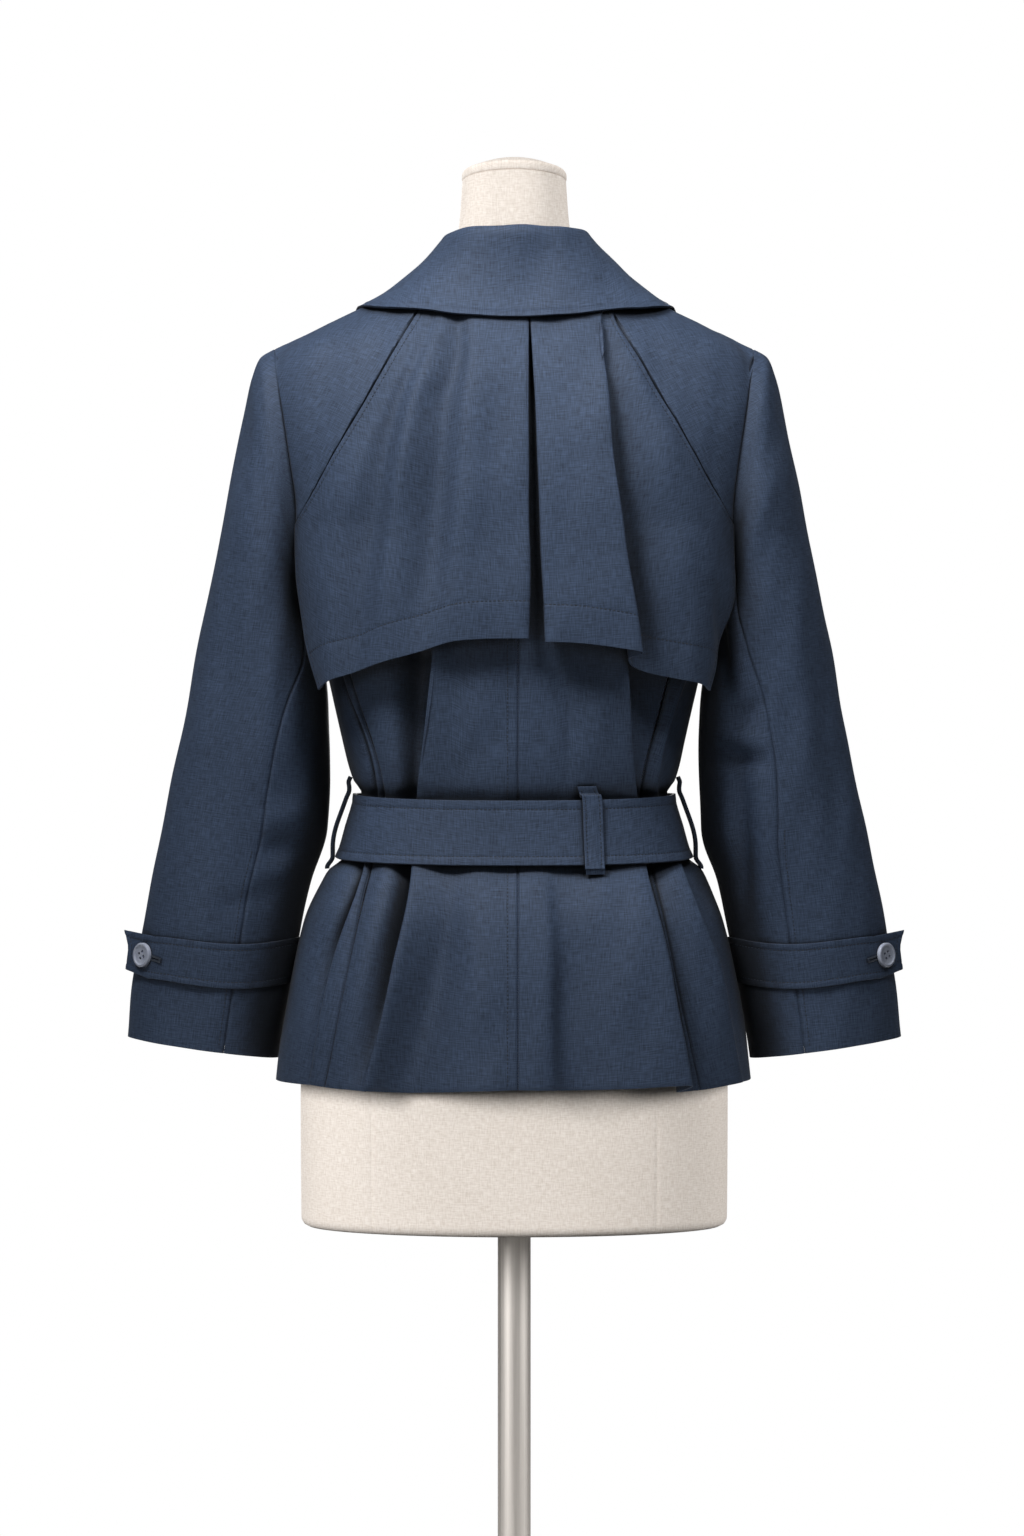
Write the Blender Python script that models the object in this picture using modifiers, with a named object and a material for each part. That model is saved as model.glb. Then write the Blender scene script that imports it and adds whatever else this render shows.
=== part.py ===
"""A cropped trench coat worn by a dress form on a pole stand, cut and sewn as the real garment is.

Frame: metres, +Z up, the floor at z = 0 and the pole's axis at x = y = 0.
The coat's back faces +Y, its front -Y, and +X is the wearer's left.

Every cloth piece is an open sheet laid on the coat's body or on a sleeve, and Solidify gives it its
thickness. The body is a stack of level sections. A point on it is named by its side, its face, its turn
from the centre line (0) to the side seam (1), its height, and how far it stands out from the section.
"""

import math
from bisect import bisect_right
from collections import namedtuple

import bmesh
import bpy
from mathutils import Vector

LEFT, RIGHT = 1, -1
BACK, FRONT = 1, -1

# Cloth and sewing
CLOTH = 0.0020
BELT_CLOTH = 0.0030
SEAM_GAP = 0.0003
SHOULDER_GAP = 0.0006
ARMHOLE_GAP = 0.0008
LAY_GAP = 0.0007
SEAM_STEP = 0.12
SHARP_EDGE = math.radians(50)
SAME_POINT = 1e-6

# Heights of the coat
HEM_Z = 0.8385
BELT_LOW_Z = 1.0200
BELT_MID_Z = 1.0450
BELT_TOP_Z = 1.0720
CAPE_HEM_Z = 1.1750
ARMPIT_Z = 1.2350
CHEST_Z = 1.2550
SHOULDER_Z = 1.4361
NECK_Z = 1.4940

# Armhole: an ellipse in a plane that leans out towards the shoulder
ARMPIT_X = 0.1667
SHOULDER_X = 0.1968
ARMHOLE_DEPTH = 0.058

# Seams of the back
CENTRE_SEAM_X = -0.0030
SADDLE_TOP_X, SADDLE_TOP_Z = 0.0800, 1.4520
SADDLE_LOW_X, SADDLE_LOW_Z = 0.1735, 1.2890
PRINCESS_TOP_Z = 1.2620

# Front closing: the right front lies on the left one
FRONT_OVERLAP = 0.030
FRONT_LAP_GAP = 0.0012
FRONT_LIFT = CLOTH + FRONT_LAP_GAP
LAP_ENDS = 0.50
LAP_FADE_FROM = 0.015
LAP_FADE = 0.030
V_NECK_Z = 1.3950

# The waist sits a little lower at the back than at the sides
WAIST_DIP = 0.0060
WAIST_DIP_REACH = 0.150

# How full the sections are: 2 is an ellipse
SQUARENESS = 2.3
TURN_STEP = 0.01

Width = namedtuple("Width", "z half_width")
WIDTHS = [
    Width(HEM_Z, 0.1930),
    Width(0.8900, 0.1862),
    Width(0.9680, 0.1715),
    Width(1.0007, 0.1570),
    Width(BELT_LOW_Z, 0.1400),
    Width(BELT_MID_Z, 0.1318),
    Width(BELT_TOP_Z, 0.1252),
    Width(1.0830, 0.1318),
    Width(1.1155, 0.1405),
    Width(1.1483, 0.1482),
    Width(1.1950, 0.1580),
    Width(ARMPIT_Z, ARMPIT_X),
]

Depth = namedtuple("Depth", "z back front")
DEPTHS = [
    Depth(HEM_Z, 0.1430, 0.1400),
    Depth(0.9000, 0.1310, 0.1310),
    Depth(0.9680, 0.1150, 0.1190),
    Depth(1.0007, 0.1030, 0.1090),
    Depth(BELT_LOW_Z, 0.0925, 0.1000),
    Depth(BELT_MID_Z, 0.0880, 0.0960),
    Depth(BELT_TOP_Z, 0.0860, 0.0950),
    Depth(1.0830, 0.0915, 0.0990),
    Depth(1.1155, 0.0985, 0.1060),
    Depth(1.1600, 0.1035, 0.1150),
    Depth(ARMPIT_Z, 0.1085, 0.1260),
    Depth(1.3000, 0.1095, 0.1230),
    Depth(1.3500, 0.1065, 0.1130),
    Depth(1.4000, 0.0975, 0.0980),
    Depth(SHOULDER_Z, 0.0840, 0.0830),
    Depth(1.4560, 0.0740, 0.0710),
    Depth(1.4750, 0.0630, 0.0600),
    Depth(NECK_Z, 0.0525, 0.0500),
]

SeamPoint = namedtuple("SeamPoint", "z x")
SHOULDER_SEAM = [
    SeamPoint(SHOULDER_Z, SHOULDER_X),
    SeamPoint(1.4530, 0.1625),
    SeamPoint(1.4697, 0.1280),
    SeamPoint(1.4830, 0.0985),
    SeamPoint(NECK_Z, 0.0735),
]
PRINCESS_SEAM = [
    SeamPoint(HEM_Z, 0.1525),
    SeamPoint(0.8926, 0.1407),
    SeamPoint(0.9958, 0.1215),
    SeamPoint(BELT_LOW_Z, 0.1160),
    SeamPoint(BELT_TOP_Z, 0.1065),
    SeamPoint(1.1420, 0.1255),
    SeamPoint(ARMPIT_Z, 0.1580),
    SeamPoint(PRINCESS_TOP_Z, 0.1690),
]
V_NECK = [
    SeamPoint(V_NECK_Z, -FRONT_OVERLAP),
    SeamPoint(1.4100, 0.0080),
    SeamPoint(SHOULDER_Z, 0.0330),
    SeamPoint(1.4700, 0.0560),
    SeamPoint(NECK_Z, 0.0680),
]

# Rows of every body panel, so that seams meet point to point
BODY_ROWS = (
    HEM_Z, 0.8600, 0.8900, 0.9250, 0.9600, 0.9860, 1.0007, BELT_LOW_Z,
    BELT_MID_Z, BELT_TOP_Z, 1.0830, 1.1020, 1.1280, 1.1550, 1.1850, 1.2120, ARMPIT_Z,
    CHEST_Z, 1.2760, 1.2950, 1.3250, 1.3600, 1.3950, 1.4200, SHOULDER_Z,
    1.4480, 1.4600, 1.4700, 1.4790, 1.4870, NECK_Z,
)

PANEL_STEPS, SADDLE_STEPS, CAPE_STEPS = 2, 3, 2

# Fold lines of a body panel. A share runs from the panel's centre edge (0) to its side edge (1), at the
# cape's hem, the belt and the coat's hem. Out is how far the line stands off the section there.
Fold = namedtuple("Fold", "line share_cape share_belt share_hem out_cape out_top out_low out_hem")
BACK_LEFT_FOLDS = [
    Fold("centre seam", 0.00, 0.00, 0.00, 0.000, 0.000, 0.000, 0.000),
    Fold("flat of the back", 0.14, 0.21, 0.17, 0.000, 0.000, 0.000, 0.001),
    Fold("skirt trough", 0.24, 0.39, 0.51, 0.000, 0.000, -0.002, -0.013),
    Fold("box edge", 0.34, 0.61, 0.68, 0.003, 0.001, 0.002, 0.003),
    Fold("box valley", 0.44, 0.69, 0.75, -0.014, -0.007, -0.011, 0.001),
    Fold("far side", 0.66, 0.82, 0.86, -0.003, -0.002, -0.001, 0.003),
    Fold("princess seam", 1.00, 1.00, 1.00, -0.002, -0.001, -0.002, 0.001),
]
SIDE_LEFT_FOLDS = [
    Fold("princess seam", 0.00, 0.00, 0.00, -0.002, -0.001, -0.002, 0.001),
    Fold("slit lip", 0.12, 0.10, 0.13, 0.000, 0.000, 0.001, 0.002),
    Fold("slit", 0.30, 0.22, 0.24, -0.004, -0.004, -0.009, 0.000),
    Fold("side ridge", 0.60, 0.46, 0.52, -0.001, 0.000, 0.000, 0.002),
    Fold("side seam", 1.00, 1.00, 1.00, 0.000, 0.000, 0.000, 0.000),
]
BACK_RIGHT_FOLDS = [
    Fold("centre seam", 0.00, 0.00, 0.00, 0.000, 0.000, 0.000, 0.000),
    Fold("flat of the back", 0.12, 0.14, 0.12, 0.000, 0.000, 0.000, -0.001),
    Fold("skirt trough", 0.22, 0.26, 0.24, -0.002, 0.000, -0.001, -0.009),
    Fold("pleat flat", 0.36, 0.60, 0.56, 0.000, 0.000, 0.000, 0.001),
    Fold("pleat edge", 0.50, 0.85, 0.83, 0.004, 0.002, 0.002, 0.012),
    Fold("pleat valley", 0.59, 0.91, 0.90, -0.015, -0.007, -0.012, -0.005),
    Fold("princess seam", 1.00, 1.00, 1.00, -0.009, -0.005, -0.009, -0.003),
]
SIDE_RIGHT_FOLDS = [
    Fold("princess seam", 0.00, 0.00, 0.00, -0.009, -0.005, -0.009, -0.003),
    Fold("side ridge", 0.32, 0.38, 0.42, 0.000, 0.000, 0.001, 0.003),
    Fold("side trough", 0.62, 0.62, 0.64, -0.003, -0.003, -0.005, -0.001),
    Fold("side seam", 1.00, 1.00, 1.00, 0.000, 0.000, 0.000, 0.000),
]
FRONT_FOLDS = [
    Fold("front edge", 0.00, 0.00, 0.00, 0.000, 0.000, 0.000, 0.000),
    Fold("flat of the front", 0.24, 0.26, 0.22, 0.000, 0.000, 0.000, 0.001),
    Fold("front ridge", 0.42, 0.44, 0.40, 0.000, 0.000, 0.001, 0.005),
    Fold("front trough", 0.56, 0.57, 0.56, -0.006, -0.006, -0.008, -0.006),
    Fold("waist ridge", 0.78, 0.76, 0.78, 0.000, 0.000, 0.001, 0.003),
    Fold("side seam", 1.00, 1.00, 1.00, 0.000, 0.000, 0.000, 0.000),
]
SADDLE_FOLDS = [
    Fold("slanting seam", 0.00, 0.00, 0.00, 0.000, 0.000, 0.000, 0.000),
    Fold("middle", 0.50, 0.50, 0.50, 0.000, 0.000, 0.000, 0.000),
    Fold("armhole", 1.00, 1.00, 1.00, 0.000, 0.000, 0.000, 0.000),
]

# Cape over the back. It lies on the slanting seam and hangs free below it.
CAPE_TOP_Z = 1.4680
CAPE_CHEST = 0.45
CAPE_ROWS = 13
CAPE_GAP = 0.0013
CAPE_LIFT = CLOTH + CAPE_GAP
CAPE_LAP = 0.0015
VENT_TOP_LEFT, VENT_HEM_LEFT = -0.0112, -0.0112
VENT_TOP_RIGHT, VENT_HEM_RIGHT = 0.0165, 0.0272

CAPE_WIDTHS = [
    Width(1.1560, 0.1720),
    Width(1.2000, 0.1800),
    Width(1.2500, 0.1885),
    Width(SADDLE_LOW_Z, 0.1902),
]
CAPE_SIDE = [
    SeamPoint(1.1560, 0.1523),
    SeamPoint(1.2030, 0.1655),
    SeamPoint(1.2500, 0.1740),
    SeamPoint(SADDLE_LOW_Z, SADDLE_LOW_X + CAPE_LAP),
]
HemPoint = namedtuple("HemPoint", "share z")
CAPE_LEFT_HEM = [
    HemPoint(0.00, 1.1955),
    HemPoint(0.18, 1.1950),
    HemPoint(0.40, 1.1920),
    HemPoint(0.50, 1.1855),
    HemPoint(0.60, 1.1800),
    HemPoint(0.74, 1.1735),
    HemPoint(0.88, 1.1665),
    HemPoint(1.00, 1.1560),
]
CAPE_RIGHT_HEM = [
    HemPoint(0.00, 1.1927),
    HemPoint(0.27, 1.1912),
    HemPoint(0.54, 1.1848),
    HemPoint(0.57, 1.1752),
    HemPoint(0.79, 1.1640),
    HemPoint(1.00, 1.1560),
]
CapeFold = namedtuple("CapeFold", "line share_neck share_chest share_hem out_neck out_chest out_hem")
CAPE_LEFT_FOLDS = [
    CapeFold("vent return", 0.030, 0.016, 0.018, 0.0000, 0.0000, 0.0010),
    CapeFold("vent edge", 0.000, 0.000, 0.000, 0.0030, 0.0060, 0.0120),
    CapeFold("flat by the vent", 0.240, 0.150, 0.180, 0.0035, 0.0065, 0.0130),
    CapeFold("long ridge", 0.500, 0.330, 0.395, 0.0042, 0.0075, 0.0125),
    CapeFold("long trough", 0.660, 0.475, 0.500, 0.0012, 0.0012, 0.0035),
    CapeFold("second ridge", 0.760, 0.585, 0.600, 0.0016, 0.0042, 0.0062),
    CapeFold("second trough", 0.840, 0.700, 0.740, 0.0012, 0.0016, 0.0045),
    CapeFold("side ridge", 0.920, 0.860, 0.880, 0.0010, 0.0042, 0.0090),
    CapeFold("side edge", 1.000, 1.000, 1.000, 0.0000, 0.0000, 0.0050),
]
CAPE_RIGHT_FOLDS = [
    CapeFold("vent return", 0.030, 0.016, 0.020, 0.0000, 0.0000, 0.0010),
    CapeFold("vent edge", 0.000, 0.000, 0.000, 0.0030, 0.0065, 0.0140),
    CapeFold("flat by the vent", 0.330, 0.210, 0.270, 0.0038, 0.0080, 0.0155),
    CapeFold("pleat edge", 0.690, 0.430, 0.537, 0.0048, 0.0110, 0.0185),
    CapeFold("pleat valley", 0.760, 0.480, 0.570, 0.0012, 0.0014, 0.0035),
    CapeFold("side flat", 0.880, 0.720, 0.790, 0.0014, 0.0030, 0.0070),
    CapeFold("side edge", 1.000, 1.000, 1.000, 0.0000, 0.0000, 0.0055),
]

# Sleeve rings from the armhole to the cuff: each ring's outer and inner line as seen from behind
Ring = namedtuple("Ring", "at x_out z_out x_in z_in half_depth y")
SLEEVE_RINGS = [
    Ring(0, SHOULDER_X, SHOULDER_Z, ARMPIT_X, ARMPIT_Z, ARMHOLE_DEPTH, 0.000),
    Ring(1, 0.2079, 1.4287, 0.1692, 1.2330, 0.0600, 0.000),
    Ring(2, 0.2145, 1.4120, 0.1708, 1.2290, 0.0610, 0.000),
    Ring(3, 0.2212, 1.3820, 0.1716, 1.2225, 0.0615, -0.001),
    Ring(4, 0.2325, 1.3290, 0.1708, 1.2110, 0.0615, -0.002),
    Ring(5, 0.2472, 1.2550, 0.1655, 1.1940, 0.0605, -0.004),
    Ring(6, 0.2604, 1.1890, 0.1580, 1.1700, 0.0590, -0.007),
    Ring(7, 0.2702, 1.1350, 0.1520, 1.1400, 0.0575, -0.010),
    Ring(8, 0.2823, 1.0800, 0.1515, 1.0850, 0.0565, -0.014),
    Ring(9, 0.2916, 1.0350, 0.1540, 1.0430, 0.0560, -0.018),
    Ring(10, 0.3001, 0.9945, 0.1675, 1.0000, 0.0555, -0.022),
    Ring(11, 0.3075, 0.9560, 0.1768, 0.9545, 0.0545, -0.026),
    Ring(12, 0.3150, 0.9120, 0.1858, 0.9060, 0.0540, -0.030),
    Ring(13, 0.3200, 0.8712, 0.1952, 0.8535, 0.0545, -0.033),
]
BACK_SLEEVE_SEAM = 107.0
FRONT_SLEEVE_SEAM = -118.0
UPPER_SLEEVE_STEPS = 14
UNDER_SLEEVE_STEPS = 9
SLEEVE_SEAM_STEP = 2.5

# Cuff strap: it lies round the back of the sleeve and runs straight on past its outer side
StrapRow = namedtuple("StrapRow", "ring free rise")
STRAP_ROWS = [
    StrapRow(11.02, 0.036, 0.004),
    StrapRow(11.47, 0.029, 0.007),
    StrapRow(11.92, 0.031, 0.010),
]
STRAP_LIFT = CLOTH + LAY_GAP
STRAP_START, STRAP_LEAVES = 172.0, 40.0
STRAP_END_SHARES = (0.0, 0.5, 1.0)
STRAP_STEPS = 12
STRAP_BUTTON_AT = 0.009
STRAP_BUTTON_GAP = 0.0004

# Buttons
BUTTON_RADIUS = 0.0100
BUTTON_FACE_RADIUS = 0.0092
BUTTON_THICKNESS = 0.0032
BUTTON_SIDES = 16
BUTTON_SLOPE_REACH = 0.020
FRONT_BUTTON_HEIGHTS = (1.3700, 1.2700, 1.1700, 0.9500, 0.8700)

# Belt, its loops and its buckle
BELT_GAP = 0.0008
BELT_LIFT = FRONT_LIFT + BELT_CLOTH + BELT_GAP
BELT_STEPS = 12
BELT_END_FROM, BELT_END_TO = 1.74, 1.30
BELT_END_STEPS = 7
BELT_END_POINT = 0.05
BELT_END_INSET = 0.0010
LOOP_WIDTH = 0.015
BUCKLE_BAR = 0.0024
BUCKLE_GAP = 0.0012
BUCKLE_HALF_WIDTH = 0.026
BUCKLE_OVERHANG = 0.0065

LoopRow = namedtuple("LoopRow", "z out")
BACK_LOOP = [
    LoopRow(1.0825, 0.0026),
    LoopRow(1.0770, 0.0050),
    LoopRow(1.0725, BELT_LIFT + 0.0026),
    LoopRow(1.0450, BELT_LIFT + 0.0028),
    LoopRow(1.0200, BELT_LIFT + 0.0026),
    LoopRow(1.0158, 0.0070),
    LoopRow(1.0120, 0.0030),
]
BACK_LOOP_TOP_X, BACK_LOOP_LOW_X = 0.0575, 0.0646
SIDE_LOOP = [
    LoopRow(1.0860, 0.0026),
    LoopRow(1.0795, 0.0075),
    LoopRow(1.0680, 0.0138),
    LoopRow(1.0490, 0.0156),
    LoopRow(1.0320, 0.0148),
    LoopRow(1.0175, 0.0090),
    LoopRow(1.0100, 0.0028),
]

# Collar, from the middle of the back round to its point at the front: the fold that stands up round the
# neck, the outer edge that lies on the shoulders, and how far the fall sags between them
Stand = namedtuple("Stand", "at x_fold y_fold z_fold x_edge y_edge z_edge sag")
COLLAR = [
    Stand(0.0, 0.0000, 0.0660, 1.5277, 0.0000, 0.0860, 1.4546, 0.0040),
    Stand(0.15, 0.0092, 0.0655, 1.5278, 0.0147, 0.0858, 1.4548, 0.0040),
    Stand(0.5, 0.0300, 0.0600, 1.5282, 0.0480, 0.0835, 1.4570, 0.0040),
    Stand(0.8, 0.0450, 0.0480, 1.5284, 0.0780, 0.0735, 1.4615, 0.0040),
    Stand(1.1, 0.0550, 0.0280, 1.5280, 0.1035, 0.0600, 1.4655, 0.0048),
    Stand(1.4, 0.0594, 0.0060, 1.5255, 0.1240, 0.0350, 1.4690, 0.0060),
    Stand(1.7, 0.0604, -0.0140, 1.5205, 0.1310, -0.0020, 1.4722, 0.0062),
    Stand(2.0, 0.0585, -0.0360, 1.5080, 0.1340, -0.0420, 1.4600, 0.0050),
    Stand(2.4, 0.0490, -0.0648, 1.4780, 0.1270, -0.0832, 1.4230, 0.0036),
    Stand(2.8, 0.0360, -0.0865, 1.4480, 0.1090, -0.1018, 1.3800, 0.0036),
    Stand(3.0, 0.0280, -0.0955, 1.4330, 0.0930, -0.1125, 1.3500, 0.0036),
]
COLLAR_FALL = (0.0, 0.3, 0.65, 1.0)
COLLAR_STAND_SHARE = 0.55
COLLAR_SHIFT_X = -0.0030
COLLAR_SHOULDER = 1.65
COLLAR_OPENING = 1.80
COLLAR_END = 3.0
COLLAR_END_Z = 1.4200
COLLAR_STEPS = 20
COLLAR_ROLL = 0.0040
COLLAR_SEAT = 0.0009

# The collar is worn a little uneven: its fold lies lower on the left, and its fall is fuller on the right
COLLAR_LEFT_DROP, COLLAR_DROP_AT, COLLAR_DROP_REACH = 0.0020, 1.10, 0.60
COLLAR_RIGHT_FULL, COLLAR_FULL_AT, COLLAR_FULL_REACH = 0.0090, 1.40, 0.90

# Dress form and stand
FORM_SIDES = 28
POLE_SIDES, BASE_SIDES = 24, 40
POLE_RADIUS = 0.0135
BASE_RADIUS = 0.170
BASE_THICKNESS = 0.012
BASE_EDGE = 0.003
FORM_LOW_Z = 0.7180
NECK_CAP_Z = 1.5800
NECK_CAP_RADIUS = 0.0430
NECK_CAP_THICKNESS = 0.0110
NECK_CAP_EDGE = 0.0040

FormSection = namedtuple("FormSection", "z half_width back front")
FORM = [
    FormSection(FORM_LOW_Z, 0.1560, 0.0960, 0.0860),
    FormSection(0.7240, 0.1680, 0.1080, 0.0980),
    FormSection(0.7380, 0.1745, 0.1140, 0.1040),
    FormSection(0.8300, 0.1750, 0.1150, 0.1050),
    FormSection(0.9000, 0.1640, 0.1060, 0.1000),
    FormSection(0.9700, 0.1400, 0.0840, 0.0900),
    FormSection(1.0400, 0.1130, 0.0660, 0.0780),
    FormSection(1.1200, 0.1200, 0.0720, 0.0880),
    FormSection(1.2000, 0.1380, 0.0830, 0.1060),
    FormSection(1.2700, 0.1480, 0.0880, 0.1080),
    FormSection(1.3400, 0.1560, 0.0860, 0.0930),
    FormSection(1.3900, 0.1660, 0.0770, 0.0770),
    FormSection(1.4200, 0.1760, 0.0660, 0.0640),
    FormSection(SHOULDER_Z, 0.1740, 0.0580, 0.0560),
    FormSection(1.4530, 0.1566, 0.0500, 0.0480),
    FormSection(1.4697, 0.1222, 0.0430, 0.0420),
    FormSection(1.4830, 0.0920, 0.0410, 0.0400),
    FormSection(NECK_Z, 0.0640, 0.0410, 0.0400),
    FormSection(1.5080, 0.0520, 0.0420, 0.0420),
    FormSection(1.5370, 0.0455, 0.0440, 0.0440),
    FormSection(NECK_CAP_Z - SEAM_GAP, 0.0425, 0.0425, 0.0425),
]


def blend(first, second, share):
    return first + (second - first) * share


def eased(share):
    share = min(1.0, max(0.0, share))
    return share * share * (3 - 2 * share)


def tangent(keys, values, i):
    """Slope at one point of a curve that never overshoots its points."""
    before = (values[i] - values[i - 1]) / (keys[i] - keys[i - 1]) if i > 0 else None
    after = (values[i + 1] - values[i]) / (keys[i + 1] - keys[i]) if i + 1 < len(keys) else None
    if before is None or after is None:
        return after if before is None else before
    return 2 * before * after / (before + after) if before * after > 0 else 0.0


def smooth_through(keys, values, at):
    """Value at one place on the smooth curve through these points."""
    if at <= keys[0]:
        return values[0]
    if at >= keys[-1]:
        return values[-1]
    i = bisect_right(keys, at) - 1
    step = keys[i + 1] - keys[i]
    t = (at - keys[i]) / step
    return (
        values[i] * (1 + 2 * t) * (1 - t) ** 2
        + values[i + 1] * (3 - 2 * t) * t ** 2
        + step * tangent(keys, values, i) * t * (1 - t) ** 2
        - step * tangent(keys, values, i + 1) * (1 - t) * t ** 2
    )


def read(table, column, at):
    """A column of a table at a place between its rows, which the first column puts in order."""
    return smooth_through([row[0] for row in table], [getattr(row, column) for row in table], at)


# The coat's body


def armhole_x(z):
    return blend(ARMPIT_X, SHOULDER_X, (z - ARMPIT_Z) / (SHOULDER_Z - ARMPIT_Z))


def armhole_y(z):
    half = (SHOULDER_Z - ARMPIT_Z) / 2
    rise = (z - ARMPIT_Z - half) / half
    return ARMHOLE_DEPTH * math.sqrt(max(0.0, 1 - rise * rise))


def body_depth(face, z):
    return read(DEPTHS, "back" if face == BACK else "front", z)


def body_half_width(face, z):
    """Half width of a section; between armpit and shoulder, as if the section went on into the arm."""
    if z <= ARMPIT_Z:
        return read(WIDTHS, "half_width", z)
    if z >= SHOULDER_Z:
        return read(SHOULDER_SEAM, "x", z)
    cut = (armhole_y(z) / body_depth(face, z)) ** SQUARENESS
    return armhole_x(z) / (1 - cut) ** (1 / SQUARENESS)


def turn_at(x, half_width):
    """Turn, from 0 at the centre line to 1 at the side, of the point of a section at this x."""
    share = min(1.0, abs(x) / half_width)
    return math.copysign(math.asin(share ** (SQUARENESS / 2)) * 2 / math.pi, x)


def body_turn(face, x, z):
    return turn_at(x, body_half_width(face, z))


def waist_dip(face, turn, z):
    if face == FRONT:
        return 0.0
    return WAIST_DIP * math.cos(turn * math.pi / 2) * eased(1 - abs(z - BELT_MID_Z) / WAIST_DIP_REACH)


def section_point(half_width, depth, side, face, turn, z, out):
    across, along = math.sin(turn * math.pi / 2), max(0.0, math.cos(turn * math.pi / 2))
    x = math.copysign(half_width * abs(across) ** (2 / SQUARENESS), across)
    y = depth * along ** (2 / SQUARENESS)
    lean_x = math.copysign((abs(x) / half_width) ** (SQUARENESS - 1) / half_width, x)
    lean_y = (y / depth) ** (SQUARENESS - 1) / depth
    size = math.hypot(lean_x, lean_y)
    drop = waist_dip(face, turn, z)
    return Vector((side * (x + out * lean_x / size), face * (y + out * lean_y / size), z - drop))


def body_point(side, face, turn, z, out=0.0):
    return section_point(body_half_width(face, z), body_depth(face, z), side, face, turn, z, out)


def round_point(side, turn, z, out=0.0):
    """A point of the body whose turn goes on past the side seam, to 2 at the centre of the front."""
    if turn <= 1:
        return body_point(side, BACK, turn, z, out)
    return body_point(side, FRONT, 2 - turn, z, out)


def side_turn(face, z):
    """Turn of the body's outer edge: the side seam, then the armhole, then the shoulder seam."""
    if z <= ARMPIT_Z or z >= SHOULDER_Z:
        return 1.0
    return body_turn(face, armhole_x(z), z)


def saddle_x(z):
    """The slanting seam from the collar to the armhole."""
    return blend(SADDLE_LOW_X, SADDLE_TOP_X, (z - SADDLE_LOW_Z) / (SADDLE_TOP_Z - SADDLE_LOW_Z))


def moved_turn(face, turn, z, distance):
    """The turn that lies this far from another along its section."""
    step = -TURN_STEP if turn > 0.5 else TURN_STEP
    reach = (body_point(LEFT, face, turn + step, z) - body_point(LEFT, face, turn, z)).length
    return turn + distance * abs(step) / reach


# Cloth pieces


def clear_scene():
    for item in list(bpy.data.objects):
        bpy.data.objects.remove(item, do_unlink=True)


def material(name, colour, roughness, metallic=0.0):
    made = bpy.data.materials.new(name)
    made.use_nodes = True
    shader = made.node_tree.nodes["Principled BSDF"]
    shader.inputs["Base Color"].default_value = (*colour, 1.0)
    shader.inputs["Roughness"].default_value = roughness
    shader.inputs["Metallic"].default_value = metallic
    return made


def add_object(name, shape, collection, finish):
    """An object from a bmesh, which is freed."""
    mesh = bpy.data.meshes.new(name)
    shape.to_mesh(mesh)
    shape.free()
    mesh.materials.append(finish)
    mesh.shade_smooth()
    mesh.set_sharp_from_angle(angle=SHARP_EDGE)
    made = bpy.data.objects.new(name, mesh)
    collection.objects.link(made)
    return made


def cloth(name, rows, collection, finish, thickness=CLOTH, flip=False, closed=False):
    """A cloth piece whose rows of points lie on its outer face. A closed one meets itself end to end."""
    across = len(rows[0])
    shape = bmesh.new()
    bmesh.ops.create_grid(shape, x_segments=across - 1, y_segments=len(rows) - 1, size=0.5)
    for i, vert in enumerate(shape.verts):
        vert.co = rows[i // across][i % across]
    if closed:
        bmesh.ops.remove_doubles(shape, verts=shape.verts, dist=SAME_POINT)
    if flip:
        bmesh.ops.reverse_faces(shape, faces=shape.faces)
    made = add_object(name, shape, collection, finish)
    wall = made.modifiers.new("cloth", "SOLIDIFY")
    wall.thickness = thickness
    wall.offset = -1.0
    wall.use_quality_normals = True
    return made


def even_steps(steps):
    return [k / steps for k in range(steps)]


def columns_between(shares, outs, spacings):
    """Share and stand-out of each column. Each gap between two fold lines has its own spacing."""
    columns = []
    for i, spacing in enumerate(spacings):
        for t in spacing:
            columns.append((blend(shares[i], shares[i + 1], t), blend(outs[i], outs[i + 1], eased(t))))
    return columns + [(shares[-1], outs[-1])]


def seam_spacings(gaps, steps, first_is_seam):
    """Even steps, but a short one beside a seam, where the cloth lies flat to meet its neighbour."""
    first = even_steps(steps)
    if first_is_seam:
        first = [0.0] + [blend(SEAM_STEP, 1, k / (steps - 1)) for k in range(steps - 1)]
    last = [blend(0, 1 - SEAM_STEP, k / (steps - 1)) for k in range(steps)]
    return [first] + [even_steps(steps)] * (gaps - 2) + [last]


def body_columns(folds, steps, first_is_seam, z):
    """Columns of a body panel at one height. Above the chest they are even and lie flat."""
    heights = (HEM_Z, BELT_LOW_Z, BELT_TOP_Z, CAPE_HEM_Z, CHEST_Z)
    shares, outs = [], []
    for i, fold in enumerate(folds):
        even = i / (len(folds) - 1)
        share = (fold.share_hem, fold.share_belt, fold.share_belt, fold.share_cape, even)
        out = (fold.out_hem, fold.out_low, fold.out_top, fold.out_cape, 0.0)
        shares.append(smooth_through(heights, share, z))
        outs.append(smooth_through(heights, out, z))
    return columns_between(shares, outs, seam_spacings(len(folds) - 1, steps, first_is_seam))


def no_lift(share, z):
    return 0.0


def lap_lift(share, z):
    """The right front rises over the left one where they lap, below the neck opening."""
    across = eased((LAP_ENDS - share) / LAP_ENDS * 2)
    up = eased((V_NECK_Z + LAP_FADE_FROM + LAP_FADE - z) / LAP_FADE)
    return FRONT_LIFT * across * up


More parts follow.
